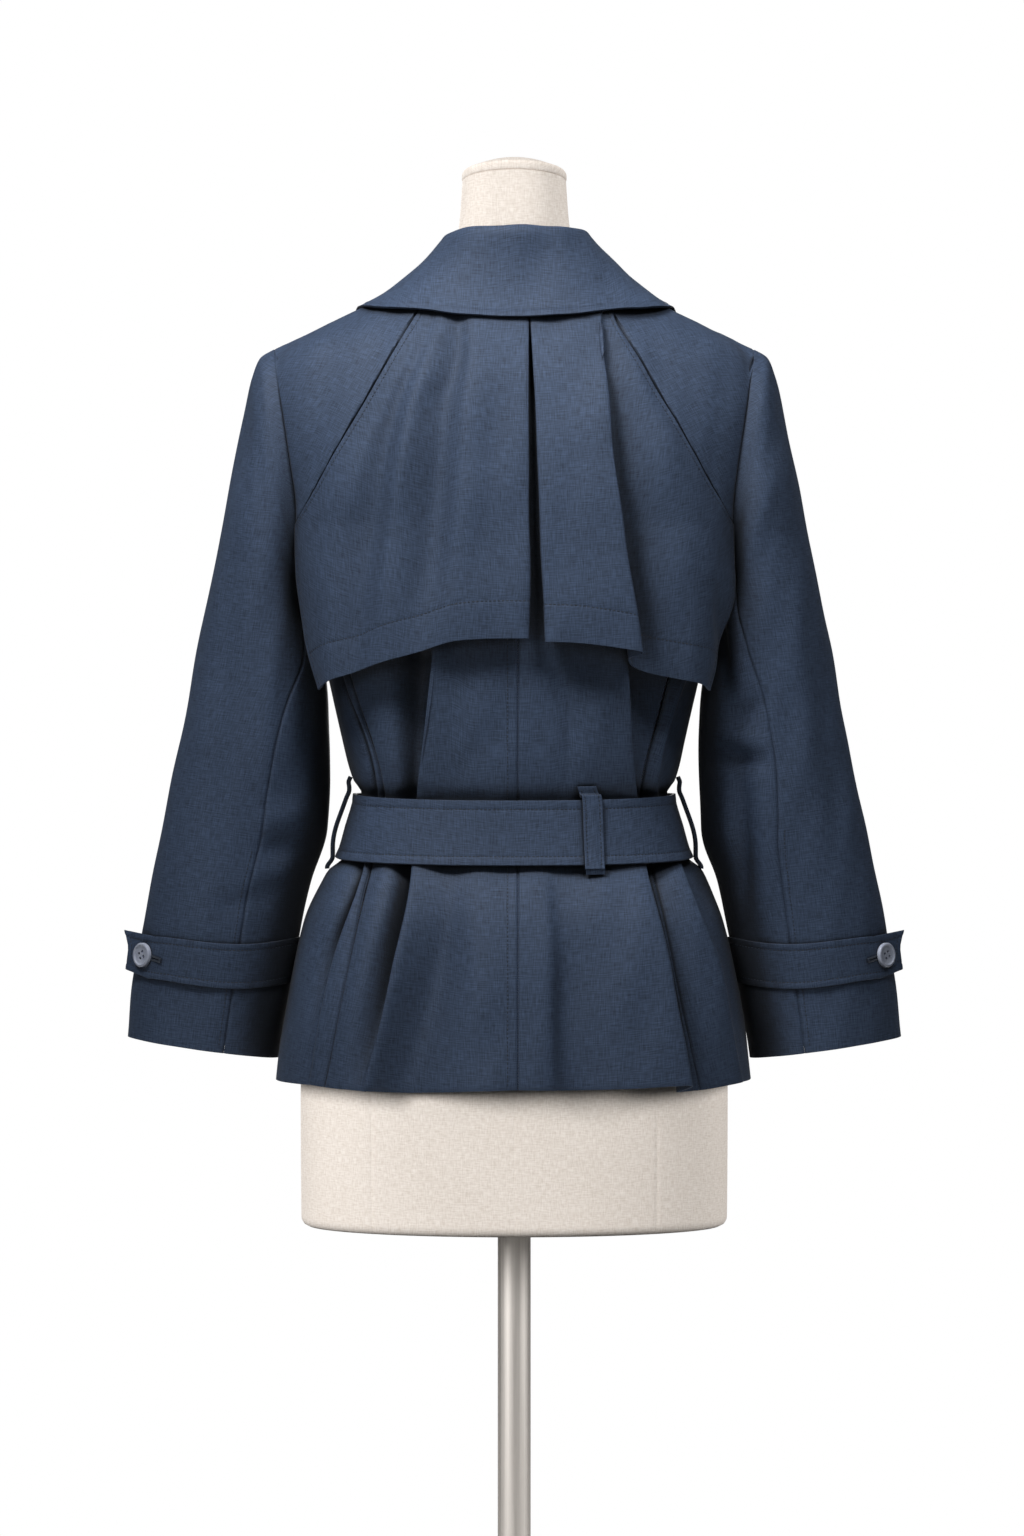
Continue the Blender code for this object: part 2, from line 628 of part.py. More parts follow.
def body_panel(name, side, face, folds, steps, rows, inner, outer, coat, finish, lift=no_lift):
    """A panel between two edges, whose turns inner and outer give at a height."""
    points = []
    first_is_seam = inner is back_edge_turn
    for z in rows:
        gap = SHOULDER_GAP if z >= SHOULDER_Z else SEAM_GAP
        low = moved_turn(face, inner(z), z, SEAM_GAP / 2)
        high = moved_turn(face, outer(z), z, -gap / 2)
        points.append([
            body_point(side, face, blend(low, high, share), z, out + lift(share, z))
            for share, out in body_columns(folds, steps, first_is_seam, z)
        ])
    return cloth(name, points, coat, finish, flip=side * face > 0)


def rows_between(low, high):
    return [z for z in BODY_ROWS if low <= z <= high]


def back_edge_turn(z):
    """Outer edge of the back: the princess seam, a little of the armhole, then the slanting seam."""
    edge = side_turn(BACK, z)
    if z <= PRINCESS_TOP_Z:
        return min(edge, body_turn(BACK, read(PRINCESS_SEAM, "x", z), z))
    if z >= SADDLE_LOW_Z:
        return min(edge, body_turn(BACK, saddle_x(z), z))
    return edge


def make_back(coat, finish):
    for side, word, folds in ((LEFT, "left", BACK_LEFT_FOLDS), (RIGHT, "right", BACK_RIGHT_FOLDS)):
        body_panel(
            f"back_{word}", side, BACK, folds, PANEL_STEPS, BODY_ROWS,
            lambda z: body_turn(BACK, side * CENTRE_SEAM_X, z), back_edge_turn, coat, finish)


def make_sides(coat, finish):
    for side, word, folds in ((LEFT, "left", SIDE_LEFT_FOLDS), (RIGHT, "right", SIDE_RIGHT_FOLDS)):
        body_panel(
            f"side_back_{word}", side, BACK, folds, PANEL_STEPS, rows_between(HEM_Z, CHEST_Z),
            back_edge_turn, lambda z: side_turn(BACK, z), coat, finish)


def make_saddles(coat, finish):
    for side, word in ((LEFT, "left"), (RIGHT, "right")):
        body_panel(
            f"shoulder_{word}", side, BACK, SADDLE_FOLDS, SADDLE_STEPS, rows_between(SADDLE_LOW_Z, NECK_Z),
            back_edge_turn, lambda z: side_turn(BACK, z), coat, finish)


def front_edge_turn(z):
    return body_turn(FRONT, read(V_NECK, "x", z), z)


def make_fronts(coat, finish):
    for side, word, lift in ((LEFT, "left", no_lift), (RIGHT, "right", lap_lift)):
        body_panel(
            f"front_{word}", side, FRONT, FRONT_FOLDS, PANEL_STEPS, BODY_ROWS,
            front_edge_turn, lambda z: side_turn(FRONT, z), coat, finish, lift)


# Cape


def cape_point(side, x, z, out):
    """A point of the cape: on the body down to the armhole, and hanging clear of the sleeve below it."""
    if z >= SADDLE_LOW_Z:
        half_width = body_half_width(BACK, z)
    else:
        half_width = read(CAPE_WIDTHS, "half_width", z)
    turn = turn_at(x, half_width)
    return section_point(half_width, body_depth(BACK, z), side, BACK, turn, z, CAPE_LIFT + out)


def cape_side_x(z):
    return saddle_x(z) + CAPE_LAP if z >= SADDLE_LOW_Z else read(CAPE_SIDE, "x", z)


def cape_columns(folds, steps, v):
    """Columns of the cape, v running from under the collar (0) to the hem (1)."""
    places = (0.0, CAPE_CHEST, 1.0)
    shares = [smooth_through(places, (f.share_neck, f.share_chest, f.share_hem), v) for f in folds]
    outs = [smooth_through(places, (f.out_neck, f.out_chest, f.out_hem), v) for f in folds]
    return columns_between(shares, outs, [even_steps(steps)] * (len(folds) - 1))


def cape_row(side, folds, hem, v, vent_top, vent_hem):
    side_z = blend(CAPE_TOP_Z, hem[-1].z, v)
    row = []
    for share, out in cape_columns(folds, CAPE_STEPS, v):
        x = blend(blend(vent_top, vent_hem, v), cape_side_x(side_z), share)
        z = blend(CAPE_TOP_Z, read(hem, "z", share), v)
        row.append(cape_point(side, x, z, out))
    return row


def make_cape(coat, finish):
    halves = (
        ("left", LEFT, CAPE_LEFT_FOLDS, CAPE_LEFT_HEM, VENT_TOP_LEFT, VENT_HEM_LEFT),
        ("right", RIGHT, CAPE_RIGHT_FOLDS, CAPE_RIGHT_HEM, VENT_TOP_RIGHT, VENT_HEM_RIGHT),
    )
    for word, side, folds, hem, vent_top, vent_hem in halves:
        rows = [cape_row(side, folds, hem, i / CAPE_ROWS, vent_top, vent_hem) for i in range(CAPE_ROWS + 1)]
        cloth(f"cape_{word}", rows, coat, finish, flip=side < 0)


# Sleeves


def sleeve_point(side, at, angle, out=0.0):
    """A point of a sleeve: angle 0 is its outer line, 90 its back, 180 its inner line."""
    ring = Ring(at, *(read(SLEEVE_RINGS, column, at) for column in Ring._fields[1:]))
    outer, inner = Vector((ring.x_out, 0, ring.z_out)), Vector((ring.x_in, 0, ring.z_in))
    half = (outer - inner) / 2
    swing = math.radians(angle)
    lean = Vector((math.cos(swing) / half.length, math.sin(swing) / ring.half_depth))
    lean.normalize()
    point = (outer + inner) / 2 + half * math.cos(swing)
    point += half.normalized() * (out * lean.x)
    point.y = ring.y + ring.half_depth * math.sin(swing) + out * lean.y
    return Vector((side * point.x, point.y, point.z))


def armhole_normal(side):
    across = Vector((SHOULDER_Z - ARMPIT_Z, 0, ARMPIT_X - SHOULDER_X)).normalized()
    return Vector((side * across.x, 0, across.z))


def seam_angles(start, end, steps):
    """Even angles between two seams, with a short step beside each seam."""
    low, high = start + SLEEVE_SEAM_STEP, end - SLEEVE_SEAM_STEP
    return [start] + [blend(low, high, k / (steps - 2)) for k in range(steps - 1)] + [end]


def sleeve_rows(side, start, end, steps):
    """Rows of a sleeve piece between two seams, from the armhole down."""
    outer_radius = SLEEVE_RINGS[0].half_depth
    gap = math.degrees(SEAM_GAP / 2 / outer_radius)
    shift = armhole_normal(side) * ARMHOLE_GAP
    rows = []
    for ring in SLEEVE_RINGS:
        angles = seam_angles(start + gap, end - gap, steps)
        rows.append([sleeve_point(side, ring.at, angle) + shift for angle in angles])
    return rows


def make_sleeves(coat, finish):
    pieces = (
        ("upper_sleeve", FRONT_SLEEVE_SEAM, BACK_SLEEVE_SEAM, UPPER_SLEEVE_STEPS),
        ("under_sleeve", BACK_SLEEVE_SEAM, FRONT_SLEEVE_SEAM + 360, UNDER_SLEEVE_STEPS),
    )
    for side, word in ((LEFT, "left"), (RIGHT, "right")):
        for name, start, end, steps in pieces:
            cloth(f"{name}_{word}", sleeve_rows(side, start, end, steps), coat, finish, flip=side > 0)


def free_strap_point(side, strap, along):
    """A point of the strap where it has left the sleeve and runs straight on, rising a little."""
    here = sleeve_point(side, strap.ring, STRAP_LEAVES, STRAP_LIFT)
    onward = (sleeve_point(side, strap.ring, STRAP_LEAVES - 1, STRAP_LIFT) - here).normalized()
    return here + onward * along + Vector((0, 0, strap.rise * along / strap.free))


def strap_row(side, strap):
    row = [
        sleeve_point(side, strap.ring, blend(STRAP_START, STRAP_LEAVES, k / STRAP_STEPS), STRAP_LIFT)
        for k in range(STRAP_STEPS)
    ]
    return row + [free_strap_point(side, strap, strap.free * share) for share in STRAP_END_SHARES]


def make_straps(coat, finish, button_finish):
    top_row, middle_row, low_row = STRAP_ROWS
    for side, word in ((LEFT, "left"), (RIGHT, "right")):
        rows = [strap_row(side, strap) for strap in STRAP_ROWS]
        cloth(f"cuff_strap_{word}", rows, coat, finish, flip=side < 0)
        top = free_strap_point(side, top_row, STRAP_BUTTON_AT)
        low = free_strap_point(side, low_row, STRAP_BUTTON_AT)
        ahead = free_strap_point(side, middle_row, STRAP_BUTTON_AT + BUTTON_RADIUS)
        onward = ahead - free_strap_point(side, middle_row, STRAP_BUTTON_AT)
        facing = (top - low).cross(onward).normalized() * side
        seat = (top + low) / 2 + facing * STRAP_BUTTON_GAP
        make_button(f"cuff_button_{word}", seat, facing, coat, button_finish)


# Collar


def collar_seam_point(side, at):
    """The neck seam: along the neckline at the back, then down the edge of the front opening."""
    lift = Vector((0, 0, COLLAR_SEAT))
    if at <= COLLAR_SHOULDER:
        return body_point(side, BACK, at / COLLAR_SHOULDER, NECK_Z) + lift
    if at <= COLLAR_OPENING:
        share = (at - COLLAR_SHOULDER) / (COLLAR_OPENING - COLLAR_SHOULDER)
        return body_point(side, FRONT, blend(1, front_edge_turn(NECK_Z), share), NECK_Z) + lift
    share = (at - COLLAR_OPENING) / (COLLAR_END - COLLAR_OPENING)
    z = blend(NECK_Z, COLLAR_END_Z, share)
    lap = lap_lift(0, z) if side == RIGHT else 0.0
    return body_point(side, FRONT, front_edge_turn(z), z, COLLAR_SEAT + lap) + lift * (1 - share)


def collar_row(side, at):
    """One cut across the collar, from the neck seam over the fold to the outer edge."""
    stand = Stand(at, *(read(COLLAR, column, at) for column in Stand._fields[1:]))
    seam = collar_seam_point(side, at)
    shift = COLLAR_SHIFT_X * (1 - at / COLLAR_END)
    lower = COLLAR_LEFT_DROP * eased(1 - abs(at - COLLAR_DROP_AT) / COLLAR_DROP_REACH)
    fuller = COLLAR_RIGHT_FULL * eased(1 - abs(at - COLLAR_FULL_AT) / COLLAR_FULL_REACH)
    z_fold = stand.z_fold - lower if side == LEFT else stand.z_fold
    sag = stand.sag - fuller if side == RIGHT else stand.sag
    fold = Vector((side * stand.x_fold + shift, stand.y_fold, z_fold))
    edge = Vector((side * stand.x_edge + shift, stand.y_edge, stand.z_edge))
    away = Vector((edge.x - fold.x, edge.y - fold.y, 0)).normalized()
    drop = Vector((0, 0, COLLAR_ROLL))
    inner = fold - away * COLLAR_ROLL - drop
    outer = fold + away * COLLAR_ROLL - drop
    hollow = (edge - outer).cross(away.cross(Vector((0, 0, 1)))).normalized()
    if hollow.z > 0:
        hollow.negate()
    fall = [blend(outer, edge, t) + hollow * (sag * 4 * t * (1 - t)) for t in COLLAR_FALL]
    return [seam, blend(seam, inner, COLLAR_STAND_SHARE), inner, fold] + fall


def make_collar(coat, finish):
    places = [COLLAR_END * k / COLLAR_STEPS for k in range(-COLLAR_STEPS, COLLAR_STEPS + 1)]
    rows = [collar_row(LEFT if at >= 0 else RIGHT, abs(at)) for at in places]
    cloth("collar", rows, coat, finish)


# Belt


def belt_row(z, out, start, end, steps):
    """Points along the belt at one height. A turn below 0 is on the right side."""
    row = []
    for k in range(steps + 1):
        turn = blend(start, end, k / steps)
        row.append(round_point(LEFT if turn >= 0 else RIGHT, abs(turn), z, out))
    return row


def make_belt(coat, finish):
    heights = (BELT_LOW_Z, BELT_MID_Z, BELT_TOP_Z)
    rows = [belt_row(z, BELT_LIFT, -2.0, 2.0, 4 * BELT_STEPS) for z in heights]
    cloth("belt", rows, coat, finish, thickness=BELT_CLOTH, flip=True, closed=True)
    out = BELT_LIFT + CLOTH + LAY_GAP
    end_rows = [
        belt_row(BELT_LOW_Z + BELT_END_INSET, out, BELT_END_FROM, BELT_END_TO, BELT_END_STEPS),
        belt_row(BELT_MID_Z, out, BELT_END_FROM, BELT_END_TO - BELT_END_POINT, BELT_END_STEPS),
        belt_row(BELT_TOP_Z - BELT_END_INSET, out, BELT_END_FROM, BELT_END_TO, BELT_END_STEPS),
    ]
    cloth("belt_end", end_rows, coat, finish)


def make_buckle(coat, finish):
    """A plain open frame round the belt at the front, bent to lie on it."""
    out = BELT_LIFT + BUCKLE_BAR + BUCKLE_GAP
    low, high = BELT_LOW_Z - BUCKLE_OVERHANG, BELT_TOP_Z + BUCKLE_OVERHANG
    width = BUCKLE_HALF_WIDTH
    corners = (
        (-width, low), (0.0, low), (width, low), (width, BELT_MID_Z),
        (width, high), (0.0, high), (-width, high), (-width, BELT_MID_Z),
    )
    path = bpy.data.curves.new("buckle", "CURVE")
    path.dimensions = "3D"
    path.bevel_depth = BUCKLE_BAR
    path.bevel_resolution = 1
    path.materials.append(finish)
    line = path.splines.new("POLY")
    line.points.add(len(corners) - 1)
    line.use_cyclic_u = True
    for point, (x, z) in zip(line.points, corners):
        level = min(BELT_TOP_Z, max(BELT_LOW_Z, z))
        seat = body_point(LEFT if x >= 0 else RIGHT, FRONT, body_turn(FRONT, abs(x), level), level, out)
        point.co = (seat.x, seat.y, z, 1.0)
    coat.objects.link(bpy.data.objects.new("buckle", path))


def make_loops(coat, finish):
    half = LOOP_WIDTH / 2
    rows = []
    for i, (z, out) in enumerate(BACK_LOOP):
        x = blend(BACK_LOOP_TOP_X, BACK_LOOP_LOW_X, i / (len(BACK_LOOP) - 1))
        rows.append([
            body_point(RIGHT, BACK, body_turn(BACK, x + across, z), z, out) for across in (-half, 0, half)
        ])
    cloth("belt_loop_back", rows, coat, finish, flip=True)
    for side, word in ((LEFT, "left"), (RIGHT, "right")):
        rows = []
        for z, out in SIDE_LOOP:
            middle = round_point(side, 1.0, z, out)
            rows.append([middle + Vector((0, across, 0)) for across in (half, 0, -half)])
        cloth(f"belt_loop_{word}", rows, coat, finish, flip=side < 0)


# Buttons


def make_button(name, seat, facing, coat, finish):
    """A round button just off its seat, with its back flat and its front edge drawn in."""
    shape = bmesh.new()
    bmesh.ops.create_cone(
        shape, cap_ends=True, segments=BUTTON_SIDES, radius1=BUTTON_RADIUS,
        radius2=BUTTON_FACE_RADIUS, depth=BUTTON_THICKNESS)
    made = add_object(name, shape, coat, finish)
    made.location = seat + facing * (BUTTON_THICKNESS / 2 + SEAM_GAP)
    made.rotation_euler = facing.to_track_quat("Z", "Y").to_euler()
    return made


def make_front_buttons(coat, finish):
    for number, z in enumerate(FRONT_BUTTON_HEIGHTS, start=1):
        seat = body_point(LEFT, FRONT, 0.0, z, FRONT_LIFT)
        above = body_point(LEFT, FRONT, 0.0, z + BUTTON_SLOPE_REACH)
        below = body_point(LEFT, FRONT, 0.0, z - BUTTON_SLOPE_REACH)
        slope = above - below
        facing = Vector((1, 0, 0)).cross(slope).normalized()
        make_button(f"front_button_{number}", seat, facing, coat, finish)


# Dress form and stand


def make_form(coat, finish):
    """A ball whose rings are moved to the form's sections, the lowest ring first."""
    shape = bmesh.new()
    bmesh.ops.create_uvsphere(shape, u_segments=FORM_SIDES, v_segments=len(FORM) + 1, radius=1.0)
    for vert in shape.verts:
        ring = round((1 - math.acos(max(-1.0, min(1.0, vert.co.z))) / math.pi) * (len(FORM) + 1))
        if ring in (0, len(FORM) + 1):
            vert.co = (0, 0, FORM[0].z if ring == 0 else FORM[-1].z)
            continue
        section = FORM[ring - 1]
        swing = math.atan2(vert.co.y, vert.co.x)
        depth = section.back if vert.co.y > 0 else section.front
        vert.co = (section.half_width * math.cos(swing), depth * math.sin(swing), section.z)
    add_object("form_torso", shape, coat, finish)


def disc(name, radius, low, thickness, edge, sides, coat, finish):
    """A round plate or bar standing on a height, with its rims rounded over."""
    shape = bmesh.new()
    bmesh.ops.create_cone(
        shape, cap_ends=True, segments=sides, radius1=radius, radius2=radius, depth=thickness)
    made = add_object(name, shape, coat, finish)
    made.location.z = low + thickness / 2
    if edge:
        rounding = made.modifiers.new("rounded rim", "BEVEL")
        rounding.width = edge
        rounding.segments = 2
        rounding.limit_method = "ANGLE"
    return made


def make_stand(coat, cap_finish, steel):
    disc(
        "neck_cap", NECK_CAP_RADIUS, NECK_CAP_Z, NECK_CAP_THICKNESS, NECK_CAP_EDGE, FORM_SIDES,
        coat, cap_finish)
    disc("base_plate", BASE_RADIUS, 0.0, BASE_THICKNESS, BASE_EDGE, BASE_SIDES, coat, steel)
    foot = BASE_THICKNESS + SEAM_GAP
    disc("pole", POLE_RADIUS, foot, FORM_LOW_Z - SEAM_GAP - foot, 0.0, POLE_SIDES, coat, steel)


def build():
    clear_scene()
    coat = bpy.data.collections.new("cropped_trench_coat")
    bpy.context.scene.collection.children.link(coat)
    navy = material("navy_twill", (0.045, 0.060, 0.090), 0.85)
    horn = material("navy_button", (0.090, 0.100, 0.125), 0.40)
    linen = material("beige_linen", (0.760, 0.680, 0.590), 0.90)
    steel = material("brushed_steel", (0.620, 0.600, 0.580), 0.35, metallic=1.0)
    make_back(coat, navy)
    make_sides(coat, navy)
    make_saddles(coat, navy)
    make_fronts(coat, navy)
    make_cape(coat, navy)
    make_sleeves(coat, navy)
    make_straps(coat, navy, horn)
    make_collar(coat, navy)
    make_belt(coat, navy)
    make_buckle(coat, horn)
    make_loops(coat, navy)
    make_front_buttons(coat, horn)
    make_form(coat, linen)
    make_stand(coat, linen, steel)


build()
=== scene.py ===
# %% [markdown]
# # A cropped trench coat on a dress form
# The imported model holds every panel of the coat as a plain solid. Here each panel is cut again as a fine
# sheet of cloth on the same form, with its folds, its seams and its stitching, and the dress form gets its
# linen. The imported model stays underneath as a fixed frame, so nothing has to be fitted by eye.

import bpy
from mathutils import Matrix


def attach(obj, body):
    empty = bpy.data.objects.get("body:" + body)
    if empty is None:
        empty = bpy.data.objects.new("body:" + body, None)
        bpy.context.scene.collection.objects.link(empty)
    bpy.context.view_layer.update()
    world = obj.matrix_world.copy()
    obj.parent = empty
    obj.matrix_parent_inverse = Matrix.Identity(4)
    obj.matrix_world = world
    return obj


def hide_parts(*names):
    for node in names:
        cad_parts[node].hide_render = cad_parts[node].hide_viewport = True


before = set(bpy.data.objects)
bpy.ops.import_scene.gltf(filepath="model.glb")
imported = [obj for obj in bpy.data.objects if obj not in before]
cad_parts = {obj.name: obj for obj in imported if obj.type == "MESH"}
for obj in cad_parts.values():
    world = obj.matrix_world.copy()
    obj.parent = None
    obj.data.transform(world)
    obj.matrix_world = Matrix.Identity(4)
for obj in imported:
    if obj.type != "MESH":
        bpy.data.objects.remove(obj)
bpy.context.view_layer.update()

import math
from collections import namedtuple

import bmesh
import bpy
import numpy as np
from mathutils import Matrix, Vector

# %% [markdown]
# ## Reading a table smoothly
# A pattern maker writes a garment down as a few measures at a few heights. A smooth curve through those
# measures gives every height between them. A spline could do it, but it may swing past its points, so this
# curve takes the slopes that never overshoot.

# %% Curves through tables
LEFT, RIGHT = 1, -1
BACK, FRONT = 1, -1


def ease(share):
    share = np.clip(share, 0.0, 1.0)
    return share * share * (3 - 2 * share)


def smooth(keys, values, at):
    """Values at these places on the smooth curve through the points."""
    keys, values = np.asarray(keys, float), np.asarray(values, float)
    slopes = np.diff(values) / np.diff(keys)
    before, after = slopes[:-1], slopes[1:]
    both = np.where(before * after > 0, before + after, 1.0)
    inner = np.where(before * after > 0, 2 * before * after / both, 0.0)
    tangents = np.concatenate([slopes[:1], inner, slopes[-1:]])
    at = np.clip(at, keys[0], keys[-1])
    i = np.clip(np.searchsorted(keys, at, side="right") - 1, 0, len(keys) - 2)
    step = keys[i + 1] - keys[i]
    t = (at - keys[i]) / step
    ends = values[i] * (1 + 2 * t) * (1 - t) ** 2 + values[i + 1] * (3 - 2 * t) * t ** 2
    return ends + step * t * (1 - t) * (tangents[i] * (1 - t) - tangents[i + 1] * t)


def read(table, column, at):
    """A column of a table between its rows, which the first column puts in order."""
    return smooth([row[0] for row in table], [getattr(row, column) for row in table], at)


def through_lines(lines, places):
    """The rounded curve through a row of fold lines, at places counted in lines."""
    first = 2 * lines[..., :1] - lines[..., 1:2]
    last = 2 * lines[..., -1:] - lines[..., -2:-1]
    padded = np.concatenate([first, lines, last], axis=-1)
    i = np.clip(np.floor(places).astype(int), 0, lines.shape[-1] - 2)
    t = places - i
    a, b, c, d = (padded[..., i + k] for k in range(4))
    return b + 0.5 * t * (c - a + t * (2 * a - 5 * b + 4 * c - d + t * (3 * (b - c) + d - a)))


print("half way up an eased step:", ease(0.5))

# %% [markdown]
# ## Colours and shader nodes
# A colour is written as the hex value a screen shows, and one function turns it into the linear numbers that
# the renderer counts with. One more function adds a shader node with its settings and links, so that a
# material reads as a short list of what lies on what.

# %% Colour and node helpers


def colour(hex_value):
    """Linear colour from an sRGB hex value."""
    parts = [int(hex_value[k:k + 2], 16) / 255 for k in (1, 3, 5)]
    linear = [c / 12.92 if c <= 0.04045 else ((c + 0.055) / 1.055) ** 2.4 for c in parts]
    return (*linear, 1.0)


def add_node(tree, kind, inputs=None, **settings):
    """One shader node. An input is a number, a colour or another node's output."""
    made = tree.nodes.new("ShaderNode" + kind)
    for name, value in settings.items():
        setattr(made, name, value)
    for key, value in (inputs or {}).items():
        if isinstance(value, bpy.types.NodeSocket):
            tree.links.new(value, made.inputs[key])
        else:
            made.inputs[key].default_value = value
    return made


def new_material(name):
    """An empty material with its shader, ready for its pattern."""
    made = bpy.data.materials.new(name)
    made.use_nodes = True
    return made, made.node_tree, made.node_tree.nodes["Principled BSDF"]


print("navy in linear light:", [round(c, 4) for c in colour("#3a4659")])

# %% [markdown]
# ## Navy wool-blend twill
# The coat is a close, matte twill. Warp and weft are of slightly different blues, so near to it one sees fine
# lines both ways, with now and then a thicker thread. The lines follow the cut of each panel, so they are
# drawn on the panel's own flat measures in metres. The real threads are about 0.4 mm apart, which is too fine
# to show here, so they are drawn about twice as coarse. Shade is also painted into the cloth's colour: where
# little of the open is seen from a point, in folds, seams and recesses, its colour is drawn darker towards
# near-black. A weak sheen stands for the short fibres.

# %% Cloth material
THREAD_LINE = 0.0009
THREAD_RUN = 0.011
TWILL_STEP = 0.0021
CLOTH_PATCH, PATCH_SHARE, SLANT_SHARE = 0.06, 0.22, 0.35
MIDDLE_SHADE = 1.0 + PATCH_SHARE / 2
# Painted shade in the folds: how far round a point the open is looked for, the open shares where the
# darkening is full and where it stops, and the near-black colour it darkens towards.
FOLD_REACH, FOLD_SHUT, FOLD_OPEN, PAINTED_SHADE_INK = 0.06, 0.48, 0.93, "#06080c"
SHEEN_ROUGHNESS = 0.55


def woven_material(name, dark, light, contrast, thread, run, roughness, sheen, bump, height, gloss, painted_fold_shade=0.0):
    """A woven cloth: threads of two shades across each other, and a bump that follows them.
    Where painted_fold_shade is given, shade is painted into the colour of its folds and recesses, that much
    at most."""
    made, tree, shader = new_material(name)
    flat = add_node(tree, "TexCoord").outputs["UV"]
    stripes = []
    for scale in ((1 / thread, 1 / run, 1.0), (1 / run, 1 / thread, 1.0)):
        along = add_node(tree, "VectorMath", {0: flat, 1: scale}, operation="MULTIPLY").outputs[0]
        stripes.append(add_node(tree, "TexNoise", {"Vector": along, "Scale": 1.0, "Detail": 1.0}).outputs[0])
    crossed = add_node(tree, "Math", {0: stripes[0], 1: stripes[1]}, operation="ADD").outputs[0]
    place = add_node(tree, "TexCoord").outputs["Object"]
    patch = add_node(tree, "TexNoise", {"Vector": place, "Scale": 1 / CLOTH_PATCH, "Detail": 3.0}).outputs[0]
    shade = add_node(
        tree, "Math", {0: patch, 1: PATCH_SHARE, 2: crossed}, operation="MULTIPLY_ADD").outputs[0]
    level = add_node(tree, "MapRange", {
        "Value": shade, "From Min": MIDDLE_SHADE - contrast, "From Max": MIDDLE_SHADE + contrast})
    ink = add_node(
        tree, "Mix", {0: level.outputs[0], 6: colour(dark), 7: colour(light)}, data_type="RGBA").outputs[2]
    # Painted shade: where the ambient-occlusion share is low, in folds, seams and recesses, the base colour
    # is mixed towards near-black.
    if painted_fold_shade:
        seen = add_node(tree, "AmbientOcclusion", {"Distance": FOLD_REACH}, samples=6).outputs["AO"]
        painted_shade_share = add_node(tree, "MapRange", {
            "Value": seen, "From Min": FOLD_SHUT, "From Max": FOLD_OPEN,
            "To Min": painted_fold_shade, "To Max": 0.0}).outputs[0]
        ink = add_node(tree, "Mix", {0: painted_shade_share, 6: ink, 7: colour(PAINTED_SHADE_INK)}, data_type="RGBA").outputs[2]
    tree.links.new(ink, shader.inputs["Base Color"])
    slant = add_node(
        tree, "TexWave", {"Vector": flat, "Scale": 1 / (TWILL_STEP * 20), "Distortion": 0.6, "Detail": 1.0},
        bands_direction="DIAGONAL").outputs[1]
    relief = add_node(
        tree, "Math", {0: slant, 1: SLANT_SHARE, 2: crossed}, operation="MULTIPLY_ADD").outputs[0]
    raised = add_node(tree, "Bump", {"Height": relief, "Strength": bump, "Distance": height})
    tree.links.new(raised.outputs[0], shader.inputs["Normal"])
    shader.inputs["Roughness"].default_value = roughness
    shader.inputs["Specular IOR Level"].default_value = gloss
    shader.inputs["Sheen Weight"].default_value = sheen
    shader.inputs["Sheen Roughness"].default_value = SHEEN_ROUGHNESS
    return made


# The twill has shade painted into its folds; the linen has none.
TWILL = woven_material(
    "navy_wool_twill", "#222d3e", "#485a77", contrast=0.48, thread=THREAD_LINE, run=THREAD_RUN,
    roughness=0.7, sheen=0.03, bump=0.22, height=0.0004, gloss=0.35, painted_fold_shade=0.9)
LINEN = woven_material(
    "beige_linen", "#e4d8cc", "#fcf3ea", contrast=0.34, thread=0.0011, run=0.006,
    roughness=0.9, sheen=0.04, bump=0.4, height=0.0004, gloss=0.15)
print("woven materials:", TWILL.name, LINEN.name)

# %% [markdown]
# ## Thread, buttons and steel
# Sewing thread is polyester with a soft shine, a shade darker than the cloth. The buttons are cast polyester
# with a faint cloud in them. The stand is steel with a satin grind, whose grain runs along the pole. Real
# grinding marks are too fine to show here, so the grain is drawn many times as coarse and very faint.

# %% Small materials


def clouded_material(name, dark, light, size, roughness, spread, stretch=(1, 1, 1), metallic=0.0):
    """A smooth material whose colour and gloss drift a little from place to place."""
    made, tree, shader = new_material(name)
    place = add_node(tree, "TexCoord").outputs["Object"]
    scale = tuple(k / size for k in stretch)
    drawn = add_node(tree, "VectorMath", {0: place, 1: scale}, operation="MULTIPLY").outputs[0]
    cloud = add_node(tree, "TexNoise", {"Vector": drawn, "Scale": 1.0, "Detail": 4.0}).outputs[0]
    level = add_node(tree, "MapRange", {"Value": cloud, "From Min": 0.3, "From Max": 0.7}).outputs[0]
    ink = add_node(tree, "Mix", {0: level, 6: colour(dark), 7: colour(light)}, data_type="RGBA")
    gloss = add_node(tree, "MapRange", {
        "Value": level, "To Min": roughness - spread, "To Max": roughness + spread}).outputs[0]
    fine = add_node(tree, "Bump", {"Height": cloud, "Strength": 0.08, "Distance": 0.0003})
    tree.links.new(ink.outputs[2], shader.inputs["Base Color"])
    tree.links.new(gloss, shader.inputs["Roughness"])
    tree.links.new(fine.outputs[0], shader.inputs["Normal"])
    shader.inputs["Metallic"].default_value = metallic
    return made


THREAD = clouded_material("polyester_thread", "#1d2430", "#2b3545", 0.004, 0.55, 0.08)
BUTTON = clouded_material("cast_polyester_button", "#a5acbf", "#bfc6d6", 0.006, 0.38, 0.06)
BUCKLE = clouded_material("satin_covered_buckle", "#2c3644", "#3a4556", 0.004, 0.45, 0.06)
STEEL = clouded_material(
    "brushed_steel", "#a9a49f", "#bab5b0", 0.0016, 0.58, 0.03, stretch=(1, 1, 0.01), metallic=1.0)
print("small materials:", THREAD.name, BUTTON.name, BUCKLE.name, STEEL.name)

